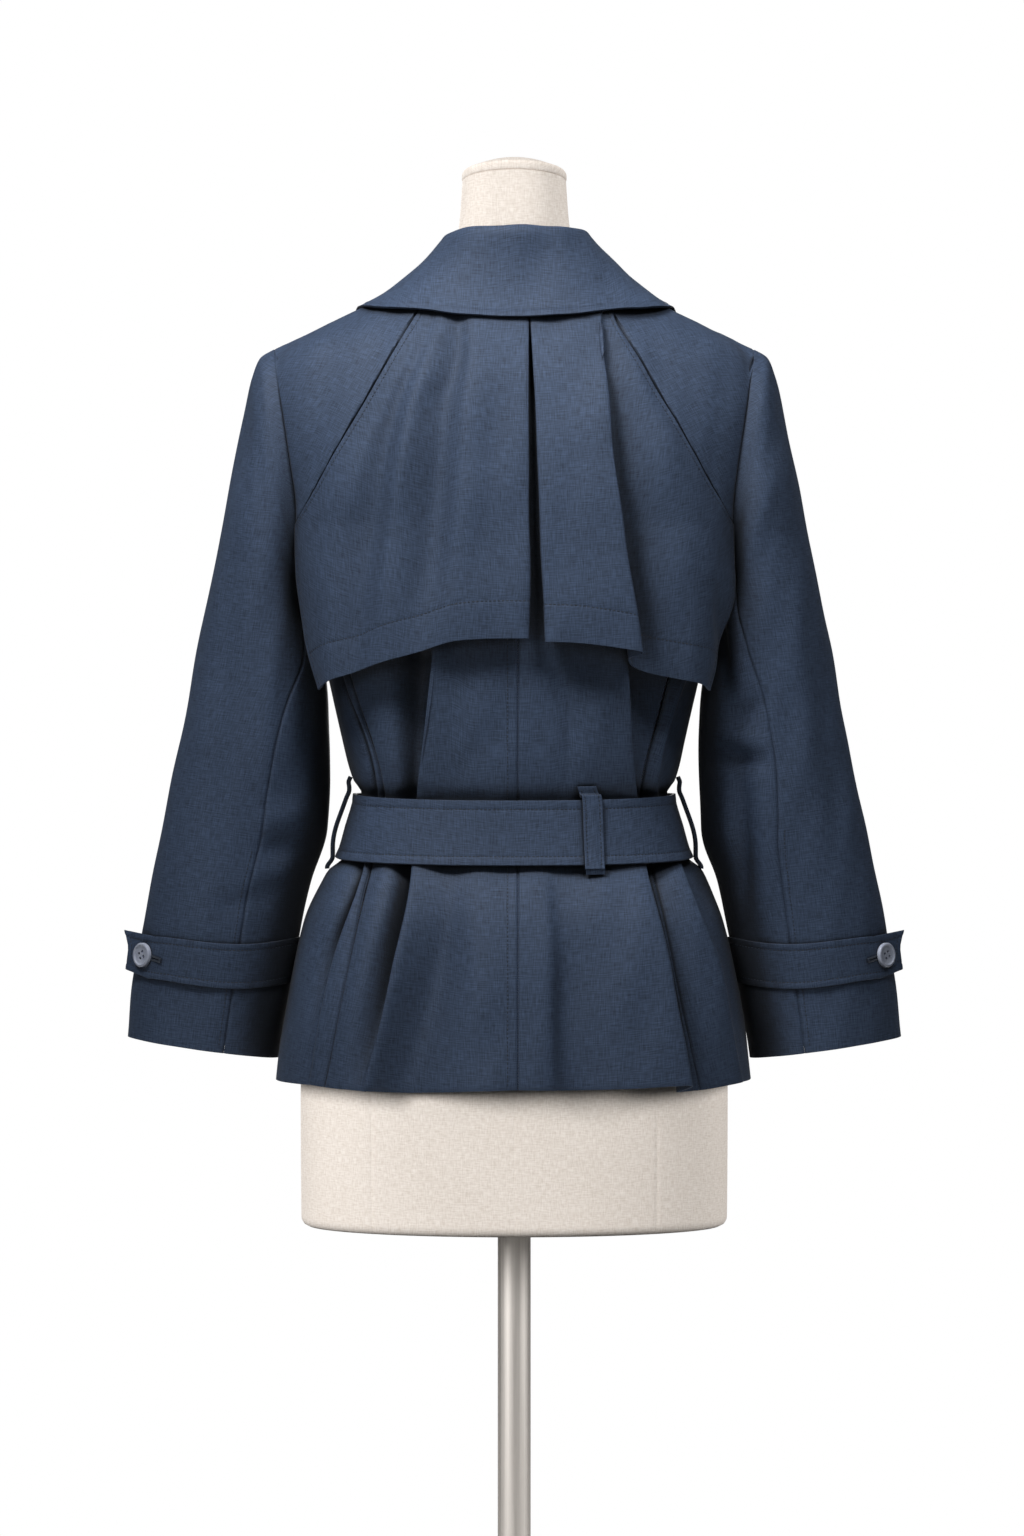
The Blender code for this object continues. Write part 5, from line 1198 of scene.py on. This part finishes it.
def bar_mesh(name, points, radius, finish):
    """A round bar along a closed line of points, as a mesh."""
    path = bpy.data.curves.new(name, "CURVE")
    path.dimensions = "3D"
    path.bevel_depth = radius
    path.bevel_resolution = 4
    line = path.splines.new("POLY")
    line.points.add(len(points) - 1)
    line.use_cyclic_u = True
    for knot, point in zip(line.points, points):
        knot.co = (*point, 1.0)
    holder = bpy.data.objects.new(name + "_path", path)
    bpy.context.scene.collection.objects.link(holder)
    bpy.context.view_layer.update()
    mesh = bpy.data.meshes.new_from_object(holder.evaluated_get(bpy.context.evaluated_depsgraph_get()))
    bpy.data.objects.remove(holder)
    mesh.name = name
    mesh.materials.clear()
    mesh.materials.append(finish)
    mesh.shade_smooth()
    return mesh


low, high = BELT_LOW_Z - BUCKLE_OVERHANG, BELT_TOP_Z + BUCKLE_OVERHANG
outline = []
for corner_x, corner_z, start in ((1, high, 0), (-1, high, 90), (-1, low, 180), (1, low, 270)):
    for angle in np.radians(np.linspace(start, start + 90, 7)):
        x = corner_x * (BUCKLE_HALF_WIDTH - BUCKLE_CORNER) + BUCKLE_CORNER * math.cos(angle)
        z = corner_z + BUCKLE_CORNER * (math.sin(angle) - (1 if corner_z == high else -1))
        outline.append((x, z))
outline = np.array(outline)
seat_z = np.clip(outline[:, 1], BELT_LOW_Z, BELT_TOP_Z)
seat = body_point(
    LEFT, FRONT, body_turn(FRONT, outline[:, 0], seat_z), seat_z, BELT_LIFT + BUCKLE_BAR + BUCKLE_GAP)
bar = np.stack([seat[:, 0], seat[:, 1], outline[:, 1]], axis=-1)
place_piece("frame_buckle", bar_mesh("frame_buckle", bar, BUCKLE_BAR, BUCKLE), "buckle")
print("buckle outline points:", len(outline))

# %% [markdown]
# ## Four-hole buttons
# A sew-through button is a disc with a raised rim, a shallow dish and four holes, and dark thread lies at the
# bottom of each hole. One is turned by insets from a circle and its holes are cut with four small rods. The
# rest are copies of its mesh, moved to their places.

# %% Button
BUTTON_RADIUS, BUTTON_EDGE = 0.01, 0.0025
BUTTON_INSETS = ((0.0004, 0.0005), (0.0006, 0.0002), (0.0009, 0.0), (0.0005, -0.0006), (0.0012, -0.0003))
BUTTON_HOLE, BUTTON_HOLE_AT, ROD_REACH, THREAD_TOP = 0.0013, 0.0021, 0.01, 0.0005


def button_shape():
    """A button that lies on z = 0 and faces up."""
    shape = bmesh.new()
    bmesh.ops.create_circle(shape, cap_ends=True, segments=56, radius=BUTTON_RADIUS)
    grown = bmesh.ops.extrude_face_region(shape, geom=list(shape.faces))["geom"]
    top = [item for item in grown if isinstance(item, bmesh.types.BMFace)]
    bmesh.ops.translate(shape, verts=top[0].verts, vec=(0, 0, BUTTON_EDGE))
    for thickness, depth in BUTTON_INSETS:
        bmesh.ops.inset_region(shape, faces=top, thickness=thickness, depth=depth, use_even_offset=True)
    bmesh.ops.recalc_face_normals(shape, faces=shape.faces)
    return mesh_of("button_blank", shape)


def hole_rods(name, radius, depth):
    """Four rods where the holes are."""
    shape = bmesh.new()
    for across, along in ((1, 1), (1, -1), (-1, 1), (-1, -1)):
        rod = bmesh.ops.create_cone(
            shape, cap_ends=True, segments=14, radius1=radius, radius2=radius, depth=2 * depth)
        away = (across * BUTTON_HOLE_AT, along * BUTTON_HOLE_AT, 0)
        bmesh.ops.translate(shape, verts=rod["verts"], vec=away)
    return mesh_of(name, shape)


blank = bpy.data.objects.new("button_blank", button_shape())
rods = bpy.data.objects.new("hole_rods", hole_rods("hole_rods", BUTTON_HOLE, ROD_REACH))
for item in (blank, rods):
    bpy.context.scene.collection.objects.link(item)
cut = blank.modifiers.new("holes", "BOOLEAN")
cut.object = rods
cut.operation = "DIFFERENCE"
bpy.context.view_layer.update()
button_mesh = bpy.data.meshes.new_from_object(blank.evaluated_get(bpy.context.evaluated_depsgraph_get()))
for item in (blank, rods):
    bpy.data.objects.remove(item)
button_mesh.materials.clear()
button_mesh.materials.append(BUTTON)
thread_mesh = hole_rods("button_thread", BUTTON_HOLE - SEAM_GAP, THREAD_TOP)
thread_mesh.materials.append(THREAD)
button_mesh.shade_smooth()
button_mesh.set_sharp_from_angle(angle=math.radians(40))
print("one button has", len(button_mesh.polygons), "faces")

# %% Buttons on their seats
FRONT_BUTTON_HEIGHTS = (1.37, 1.27, 1.17, 0.95, 0.87)
STRAP_BUTTON_AT, STRAP_BUTTON_GAP, FRONT_BUTTON_GAP, BUTTON_TILT = 0.009, 0.0004, 0.0005, 0.4
SLOPE_REACH = 0.02
BUTTON_SEATS = []


def seat_button(name, node, seat, facing):
    """Copies of the button and of its thread, moved to their seat."""
    facing = Vector(facing)
    place = Matrix.Translation(Vector(seat) + facing * SEAM_GAP)
    place = place @ facing.to_track_quat("Z", "Y").to_matrix().to_4x4()
    copies = (("thread_of_" + name, thread_mesh, "coat_cloth", None), (name, button_mesh, "buttons", node))
    for made, mesh, slot, stands_for in copies:
        mesh = mesh.copy()
        mesh.name = made
        mesh.transform(place @ Matrix.Rotation(BUTTON_TILT, 4, "Z"))
        place_piece(made, mesh, stands_for)
    BUTTON_SEATS.append(name)


def free_strap(side, level, along):
    share = along / smooth(STRAP_LEVELS, STRAP_FREE, level)
    return strap_points(side, np.array([level]), np.array([1 + share]))[0]


STRAP_SEATS = {}
for side, word in ((LEFT, "left"), (RIGHT, "right")):
    top, low = free_strap(side, 0.0, STRAP_BUTTON_AT), free_strap(side, 1.0, STRAP_BUTTON_AT)
    onward = free_strap(side, 0.5, STRAP_BUTTON_AT + BUTTON_RADIUS) - free_strap(side, 0.5, STRAP_BUTTON_AT)
    facing = unit(np.cross(top - low, onward)) * side
    seat = (top + low) / 2 + facing * STRAP_BUTTON_GAP
    STRAP_SEATS[word] = seat, facing, unit(onward)
    seat_button(f"button_cuff_{word}", f"cuff_button_{word}", seat, facing)
for number, z in enumerate(FRONT_BUTTON_HEIGHTS, start=1):
    seat = body_point(LEFT, FRONT, 0.0, z, FRONT_LIFT + FRONT_BUTTON_GAP)
    slope = body_point(LEFT, FRONT, 0.0, z + SLOPE_REACH) - body_point(LEFT, FRONT, 0.0, z - SLOPE_REACH)
    seat_button(f"button_front_{number}", f"front_button_{number}", seat, unit(np.cross([1, 0, 0], slope)))
print("buttons:", len(BUTTON_SEATS))

# %% [markdown]
# ## Topstitching
# Rows of stitching hold the turned edges flat and draw the lines that tell this coat from a plain one. A row
# is found by measuring in from a panel's edge. Each stitch is a short thread, thick in the middle and sunk at
# both ends, and a group of rows becomes one joined mesh. The stitches are as long as real ones, about 3 mm.

# %% Stitches
STITCH_PITCH, STITCH_LENGTH, THREAD_RADIUS = 0.0034, 0.0026, 0.0003
STITCH_RINGS = ((-0.5, 0.45, -0.9), (-0.28, 1.0, 0.3), (0.28, 1.0, 0.3), (0.5, 0.45, -0.9))


def beside_edge(sheet, edge, distance):
    """The line on a sheet that runs at a distance from one of its edges, and its outward directions."""
    points, facing = sheet.points, sheet.facing
    if edge.endswith("row"):
        points, facing = points.transpose(1, 0, 2), facing.transpose(1, 0, 2)
    if edge.startswith("last"):
        points, facing = points[:, ::-1], facing[:, ::-1]
    run = run_along(points, 1)
    line = [[np.interp(distance, r, p[:, k]) for k in range(3)] for r, p in zip(run, points)]
    outward = [[np.interp(distance, r, f[:, k]) for k in range(3)] for r, f in zip(run, facing)]
    return np.array(line), unit(np.array(outward))


def stitch_row(line, outward, skip_start, skip_end):
    """Starts, ends and outward directions of the stitches along a line."""
    run = np.concatenate([[0], np.cumsum(np.linalg.norm(np.diff(line, axis=0), axis=-1))])
    starts = np.arange(skip_start, run[-1] - skip_end - STITCH_LENGTH, STITCH_PITCH)

    def at(places, values):
        return np.stack([np.interp(places, run, values[:, k]) for k in range(3)], axis=-1)

    middles = starts + STITCH_LENGTH / 2
    return at(starts, line), at(starts + STITCH_LENGTH, line), unit(at(middles, outward))


print("stitches in 100 mm:", round(0.1 / STITCH_PITCH))

# %% Meshes of stitches


def stitch_mesh(name, rows, radius):
    """One joined mesh of all stitches in these rows."""
    starts, ends, outward = (np.concatenate(parts) for parts in zip(*rows))
    along = ends - starts
    across = unit(np.cross(along, outward))
    corners = []
    for place, size, lift in STITCH_RINGS:
        middle = (starts + ends) / 2 + along * place + outward * (radius * lift)
        for turn in (0.25, 0.75, 1.25, 1.75):
            swing = turn * math.pi
            corners.append(middle + (across * math.cos(swing) + outward * math.sin(swing)) * (radius * size))
    points = np.stack(corners, axis=1).reshape(-1, 3)
    sides = [
        (4 * r + k, 4 * r + (k + 1) % 4, 4 * r + 4 + (k + 1) % 4, 4 * r + 4 + k)
        for r in range(len(STITCH_RINGS) - 1) for k in range(4)
    ]
    one = np.array(sides + [(3, 2, 1, 0), (12, 13, 14, 15)])
    faces = (one[None] + 16 * np.arange(len(starts))[:, None, None]).reshape(-1, 4)
    mesh = bpy.data.meshes.new(name)
    mesh.from_pydata(points.tolist(), [], faces.tolist())
    mesh.materials.append(THREAD)
    mesh.shade_smooth()
    mesh.update()
    print(f"{name}: {len(starts)} stitches")
    return mesh


def sew_rows(name, rows, radius=THREAD_RADIUS):
    return place_piece(name, stitch_mesh(name, rows, radius))


print("rings in one stitch:", len(STITCH_RINGS))

# %% Rows of stitches


def edge_rows(sheets, edges, distance, skip_start=0.0, skip_end=0.0):
    """Rows at a distance from these edges of these sheets, which start and end a little way in."""
    return [
        stitch_row(*beside_edge(SHEETS[sheet], edge, distance), skip_start, skip_end)
        for sheet in sheets for edge in edges
    ]


CENTRE_STITCH, SLEEVE_STITCH = 0.0085, 0.0055
LOOPS, STRAPS = ("belt_loop_back", "belt_loop_left", "belt_loop_right"), ("strap_left", "strap_right")
CAPES, FRONTS = ("cape_left", "cape_right"), ("front_left", "front_right")
UPPERS, ROWS = ("upper_sleeve_left", "upper_sleeve_right"), ("first_row", "last_row")
sew_rows("stitching_collar", edge_rows(["collar"], ["last_column"], COLLAR_STITCH, 0.006, 0.006)
         + edge_rows(["collar"], ROWS, COLLAR_STITCH, 0.06, 0.006))
sew_rows("stitching_cape", edge_rows(CAPES, ["last_column"], CAPE_EDGE_STITCH, 0.012, 0.002)
         + edge_rows(CAPES, ["last_row"], CAPE_HEM_STITCH, 0.006, 0.003))
sew_rows("stitching_belt", edge_rows(["belt", "belt_end"], ROWS, BELT_STITCH))
sew_rows("stitching_loops", edge_rows(LOOPS, ["first_column", "last_column"], LOOP_STITCH, 0.003, 0.003))
sew_rows("stitching_straps", edge_rows(STRAPS, (*ROWS, "last_column"), STRAP_STITCH, 0.005, 0.005))
sew_rows("stitching_body", edge_rows(["back_left"], ["first_column"], CENTRE_STITCH, 0.003, 0.02)
         + edge_rows(UPPERS, ["last_column"], SLEEVE_STITCH, 0.24, 0.004)
         + edge_rows(FRONTS, ["first_column"], FRONT_STITCH, 0.003, 0.1))

# %% [markdown]
# ## Buttonholes
# A buttonhole is a slit bound by close stitches, with a bar across its end. The same stitch shape serves,
# laid side by side across the slit.

# %% Buttonholes
HOLE_HALF, HOLE_STITCH, HOLE_PITCH, HOLE_THREAD = 0.0021, 0.0017, 0.00055, 0.00036
HOLE_BAR = (0.0, 0.0006, 0.0012)
STRAP_HOLE, FRONT_HOLE = (0.008, 0.0205, 0.0001), (-0.003, 0.0135, 0.0003)


def buttonhole(seat, facing, along, start, end, lift):
    """Stitches across both lips of a slit that runs from start to end, and a bar at its end."""
    across = np.cross(facing, along)
    starts, ends = [], []
    for step in np.arange(start, end, HOLE_PITCH):
        for lip in (-1, 1):
            near = seat + along * step + across * lip * (HOLE_HALF - HOLE_STITCH) + facing * lift
            starts.append(near)
            ends.append(near + across * lip * HOLE_STITCH)
    for step in HOLE_BAR:
        bar_at = seat + along * (end + step) + facing * lift
        starts.append(bar_at - across * HOLE_HALF)
        ends.append(bar_at + across * HOLE_HALF)
    return np.array(starts), np.array(ends), np.tile(facing, (len(starts), 1))


hole_rows = []
for word, (seat, facing, along) in STRAP_SEATS.items():
    hole_rows.append(buttonhole(seat, facing, -along, *STRAP_HOLE))
for z in FRONT_BUTTON_HEIGHTS:
    seat = body_point(LEFT, FRONT, 0.0, z, FRONT_LIFT)
    hole_rows.append(buttonhole(seat, np.array([0, -1.0, 0]), np.array([1.0, 0, 0]), *FRONT_HOLE))
sew_rows("stitching_buttonholes", hole_rows, HOLE_THREAD)

# %% [markdown]
# ## Dress form
# The form is a padded shell under a tight linen cover, sewn from panels, so its seams show as fine lines that
# run from neck to hip. It is a stack of ovals, given by width and by depth to the back and front. The seams
# are pressed in as narrow grooves, with closer columns beside each one so that the groove is real. The neck
# is cut at a slant, higher at the nape than at the throat. Like the twill's, the linen's threads are drawn
# about twice as coarse as real ones.

# %% Measures of the form
FORM_LOW_Z, NECK_CAP_Z = 0.718, 1.58
FORM_TOP_Z = NECK_CAP_Z - 0.0003
NECK_DROP, NECK_SLANT, NECK_SLANT_FROM = 0.0069, 0.13, 1.515
FormSection = namedtuple("FormSection", "z half_width back front")
FORM = [
    FormSection(FORM_LOW_Z, 0.1685, 0.1085, 0.0985), FormSection(0.72, 0.1722, 0.1122, 0.1022),
    FormSection(0.725, 0.1744, 0.1144, 0.1044), FormSection(0.83, 0.175, 0.115, 0.105),
    FormSection(0.9, 0.164, 0.106, 0.1), FormSection(0.97, 0.14, 0.084, 0.09),
    FormSection(1.04, 0.113, 0.066, 0.078), FormSection(1.12, 0.12, 0.072, 0.088),
    FormSection(1.2, 0.138, 0.083, 0.106), FormSection(1.27, 0.148, 0.088, 0.108),
    FormSection(1.34, 0.156, 0.086, 0.093), FormSection(1.39, 0.166, 0.077, 0.077),
    FormSection(1.42, 0.176, 0.066, 0.064), FormSection(SHOULDER_Z, 0.174, 0.058, 0.056),
    FormSection(1.4485, 0.1566, 0.05, 0.048), FormSection(1.465, 0.1222, 0.043, 0.042),
    FormSection(1.48, 0.092, 0.041, 0.04), FormSection(NECK_Z, 0.064, 0.041, 0.04),
    FormSection(1.508, 0.052, 0.042, 0.042), FormSection(1.537, 0.0455, 0.044, 0.044),
    FormSection(FORM_TOP_Z, 0.0425, 0.0425, 0.0425),
]
FORM_SEAMS = (0.0, 49.0, 90.0, 131.0, 180.0, 229.0, 270.0, 311.0)
FORM_SEAM_DIP, FORM_SEAM_HALF, FORM_RADIUS = 0.0004, 0.6, 0.11
SEAM_OFFSETS = (-1.6, -1.0, -0.6, -0.3, 0.0, 0.3, 0.6, 1.0, 1.6)

beside_seams = np.add.outer(FORM_SEAMS, SEAM_OFFSETS).ravel()
form_angles = np.concatenate([np.arange(0, 360, 3.0), beside_seams])
form_angles = np.unique(np.round(form_angles % 360, 3))
form_angles = np.append(form_angles, 360.0)
form_z = np.concatenate([
    np.linspace(FORM_LOW_Z, 0.742, 14), np.arange(0.75, 0.86, 0.006), np.arange(0.87, 1.4, 0.016),
    np.arange(1.4, 1.5, 0.005), np.arange(1.503, NECK_CAP_Z, 0.004), [FORM_TOP_Z],
])
print("form:", len(form_z), "rows of", len(form_angles), "points")

# %% Form


def slant_neck(points):
    """Points of the neck, moved down more at the throat than at the nape."""
    share = ease((points[..., 2] - NECK_SLANT_FROM) / (NECK_CAP_Z - NECK_SLANT_FROM))
    points[..., 2] -= share * (NECK_DROP - NECK_SLANT * points[..., 1])
    return points


swing = np.radians(form_angles)[None, :]
width = read(FORM, "half_width", form_z)[:, None]
to_back, to_front = (read(FORM, column, form_z)[:, None] for column in ("back", "front"))
depth = np.where(np.sin(swing) >= 0, to_back, to_front)
away = np.min([np.abs((form_angles - seam + 180) % 360 - 180) for seam in FORM_SEAMS], axis=0)
press = 1 - FORM_SEAM_DIP / FORM_RADIUS * np.exp(-(away / FORM_SEAM_HALF) ** 2)[None, :]
form_points = np.stack(np.broadcast_arrays(
    width * np.cos(swing) * press, depth * np.sin(swing) * press, form_z[:, None]), axis=-1)
low_rim = [form_points[:1] * [k, k, 1] for k in (0.0, 0.5, 0.9)]
top_rim = [form_points[-1:] * [k, k, 1] for k in (0.9, 0.0)]
form_points = slant_neck(np.concatenate(low_rim + [form_points] + top_rim))
form_round = run_along(form_points, 1)
form_flat = np.stack([form_round - form_round[:, [len(form_angles) // 4]], form_points[..., 2]], axis=-1)
form_mesh = grid_mesh("linen_form", form_points, False, LINEN, form_flat)
shape = bmesh.new()
shape.from_mesh(form_mesh)
bmesh.ops.remove_doubles(shape, verts=shape.verts, dist=1e-6)
bmesh.ops.recalc_face_normals(shape, faces=shape.faces)
shape.to_mesh(form_mesh)
shape.free()
form_mesh.set_sharp_from_angle(angle=math.radians(50))
form_pieces = [place_piece("linen_form", form_mesh, "form_torso")]
print("form:", len(form_mesh.polygons), "faces")

# %% [markdown]
# ## Neck cap and stand
# The cap is a linen-covered disc with a soft rim and a low dome, and it follows the neck's slant. The pole is
# a plain steel tube that reaches up to the form's underside, and the base a heavy round plate with an eased
# edge. All three are turned shapes, so one profile each is spun round the pole's axis.

# %% Turning
TURN_STEPS = 96


def turned(name, profile, finish, node):
    """A profile of radius and height, spun once round the pole's axis."""
    shape = bmesh.new()
    verts = [shape.verts.new((radius, 0, z)) for radius, z in profile]
    edges = [shape.edges.new(pair) for pair in zip(verts, verts[1:])]
    bmesh.ops.spin(
        shape, geom=verts + edges, cent=(0, 0, 0), axis=(0, 0, 1), angle=2 * math.pi, steps=TURN_STEPS,
        use_merge=True)
    bmesh.ops.remove_doubles(shape, verts=shape.verts, dist=1e-6)
    bmesh.ops.recalc_face_normals(shape, faces=shape.faces)
    flat = shape.loops.layers.uv.new("cut")
    for face in shape.faces:
        for loop in face.loops:
            x, y, z = loop.vert.co
            loop[flat].uv = (x, y + z)
    mesh = mesh_of(name, shape)
    mesh.materials.append(finish)
    mesh.shade_smooth()
    mesh.set_sharp_from_angle(angle=math.radians(35))
    return place_piece(name, mesh, node)


def rounded_rim(radius, z, size, start, end, steps=6):
    """Part of a rim's quarter round, its middle at this radius and height."""
    angles = np.radians(np.linspace(start, end, steps))
    return [(radius + size * math.cos(a), z + size * math.sin(a)) for a in angles]


print("steps in one turn:", TURN_STEPS)

# %% Cap, base and pole
CAP_RADIUS, CAP_TOP_Z, CAP_RIM, CAP_DOME, CAP_FOOT = 0.043, 1.591 + NECK_DROP, 0.004, 0.0096, 0.002
BASE_RADIUS, BASE_TOP_Z, BASE_RIM, BASE_FOOT = 0.17, 0.012, 0.003, 0.001
POLE_RADIUS, POLE_RIM = 0.0135, 0.0006
cap_profile = [(0.0, NECK_CAP_Z)]
cap_profile += rounded_rim(CAP_RADIUS - CAP_FOOT, NECK_CAP_Z + CAP_FOOT, CAP_FOOT, -90, 0)
cap_profile += rounded_rim(CAP_RADIUS - CAP_RIM, CAP_TOP_Z - CAP_DOME - CAP_RIM, CAP_RIM, 0, 65)
dome_radii = np.linspace(CAP_RADIUS - CAP_RIM, 0.0, 12)[1:]
cap_profile += [(r, CAP_TOP_Z - CAP_DOME * (r / (CAP_RADIUS - CAP_RIM)) ** 2) for r in dome_radii]
neck_cap = turned("linen_neck_cap", cap_profile, LINEN, "neck_cap")
cap_points = np.array([vertex.co for vertex in neck_cap.data.vertices])
neck_cap.data.vertices.foreach_set("co", slant_neck(cap_points).astype(np.float32).ravel())
neck_cap.data.update()
form_pieces.append(neck_cap)
base_profile = [(0.0, 0.0)] + rounded_rim(BASE_RADIUS - BASE_FOOT, BASE_FOOT, BASE_FOOT, -90, 0, 4)
base_profile += rounded_rim(BASE_RADIUS - BASE_RIM, BASE_TOP_Z - BASE_RIM, BASE_RIM, 0, 90)
base_profile += [(0.0, BASE_TOP_Z)]
form_pieces.append(turned("steel_base", base_profile, STEEL, "base_plate"))
pole_low, pole_top = BASE_TOP_Z + SEAM_GAP, FORM_LOW_Z - SEAM_GAP
pole_middle = POLE_RADIUS - POLE_RIM
pole_profile = [(0.0, pole_low)] + rounded_rim(pole_middle, pole_low + POLE_RIM, POLE_RIM, -90, 0, 4)
pole_profile += rounded_rim(pole_middle, pole_top - POLE_RIM, POLE_RIM, 0, 90, 4) + [(0.0, pole_top)]
form_pieces.append(turned("steel_pole", pole_profile, STEEL, "pole"))
print("pole", round(pole_top - pole_low, 3), "m long")

# %% [markdown]
# ## Floor, light and camera
# The floor is a pale round sheet of studio paper before a white surround. Dark cloth and pale linen need very
# different amounts of light, which a photographer gives with screens between the lamps. Here each lamp is
# linked to one group of pieces instead: the coat has a key from the upper left and a weaker one from the
# upper right, the form has level light all round, and the floor has its own. The camera stands 4 m behind the
# coat, level, with the long lens that keeps sleeves and body in their true proportions.

# %% Floor and surround
FLOOR_RADIUS = 2.4
shape = bmesh.new()
bmesh.ops.create_circle(shape, cap_ends=True, segments=96, radius=FLOOR_RADIUS)
floor_mesh = mesh_of("studio_floor", shape)
paper, tree, shader = new_material("studio_paper")
grain = add_node(tree, "TexNoise", {"Scale": 220.0, "Detail": 3.0}).outputs[0]
tint = add_node(tree, "Mix", {0: grain, 6: colour("#f1f0ee"), 7: colour("#f7f6f4")}, data_type="RGBA")
tree.links.new(tint.outputs[2], shader.inputs["Base Color"])
shader.inputs["Roughness"].default_value = 0.9
floor_mesh.materials.append(paper)
floor = bpy.data.objects.new("studio_floor", floor_mesh)
bpy.context.scene.collection.objects.link(floor)
floor.visible_diffuse = False

world = bpy.data.worlds.new("white_surround")
bpy.context.scene.world = world
world.use_nodes = True
tree = world.node_tree
seen = add_node(tree, "Background", {"Color": (1, 1, 1, 1), "Strength": 1.0}).outputs[0]
fill = add_node(tree, "Background", {"Color": (0.94, 0.97, 1.0, 1), "Strength": 0.04}).outputs[0]
straight = add_node(tree, "LightPath").outputs["Is Camera Ray"]
mixed = add_node(tree, "MixShader", {0: straight, 1: fill, 2: seen}).outputs[0]
tree.links.new(mixed, tree.nodes["World Output"].inputs["Surface"])
print("floor:", 2 * FLOOR_RADIUS, "m across")

# %% Lamps
Lamp = namedtuple("Lamp", "name azimuth elevation aim distance size grid watts")
COAT_LAMPS = [
    Lamp("key_lamp", 42, 50, (0, 0.1, 1.48), 2.0, 0.8, 42, 3.0),
    Lamp("second_lamp", -30, 48, (0, 0.1, 1.46), 2.0, 0.8, 44, 1.6),
    Lamp("low_lamp", 30, 8, (0, 0.05, 1.3), 3.0, 1.0, 44, 0.66),
    Lamp("front_lamp", 184, 8, (0, -0.05, 1.2), 3.0, 1.0, 180, 38.0),
]
FORM_LAMPS = [
    Lamp("form_lamp", 46, 12, (0, 0, 1.05), 3.2, 1.6, 180, 104.0),
    Lamp("form_side_lamp", -69, 12, (0, 0, 1.05), 3.2, 1.6, 180, 70.0),
    Lamp("form_front_lamp", 165, 12, (0, 0, 1.05), 3.2, 1.6, 180, 92.0),
    Lamp("form_top_lamp", 0, 85, (0, 0, 1.05), 3.2, 1.6, 180, 40.0),
]
FLOOR_LAMPS = [Lamp("floor_lamp", 0, 90, (0, 0, 0), 3.6, 4.0, 180, 330.0)]


def set_lamp(lamp):
    """A round soft lamp, its azimuth counted from the camera's side towards the coat's left."""
    light = bpy.data.lights.new(lamp.name, "AREA")
    light.shape = "DISK"
    light.size = lamp.size
    light.spread = math.radians(lamp.grid)
    light.energy = lamp.watts
    made = bpy.data.objects.new(lamp.name, light)
    a, e = math.radians(lamp.azimuth), math.radians(lamp.elevation)
    away = Vector((math.sin(a) * math.cos(e), math.cos(a) * math.cos(e), math.sin(e)))
    made.location = Vector(lamp.aim) + away * lamp.distance
    made.rotation_euler = (-away).to_track_quat("-Z", "Y").to_euler()
    bpy.context.scene.collection.objects.link(made)
    return made


meshes = [thing for thing in bpy.context.scene.objects if thing.type == "MESH"]
coat_pieces = [thing for thing in meshes if thing not in form_pieces and thing is not floor]
for lamps, lit in ((COAT_LAMPS, coat_pieces), (FORM_LAMPS, form_pieces), (FLOOR_LAMPS, [floor])):
    group = bpy.data.collections.new("lit_by_" + lamps[0].name)
    for piece in lit:
        group.objects.link(piece)
    for lamp in lamps:
        set_lamp(lamp).light_linking.receiver_collection = group
print("lamps:", len(COAT_LAMPS) + len(FORM_LAMPS) + len(FLOOR_LAMPS))

# %% Camera
CAMERA_AT, SENSOR_WIDTH, VIEW_WIDTH = (0.0018, 4.0, 1.0925), 36.0, 1.2595
camera_data = bpy.data.cameras.new("camera")
camera_data.sensor_width = SENSOR_WIDTH
camera_data.lens = SENSOR_WIDTH * CAMERA_AT[1] / VIEW_WIDTH
camera = bpy.data.objects.new("camera", camera_data)
camera.location = CAMERA_AT
camera.rotation_euler = (math.radians(90), 0, math.radians(180))
bpy.context.scene.collection.objects.link(camera)
bpy.context.scene.camera = camera
bpy.context.scene.view_settings.view_transform = "Standard"
print("lens", round(camera_data.lens, 1), "mm")
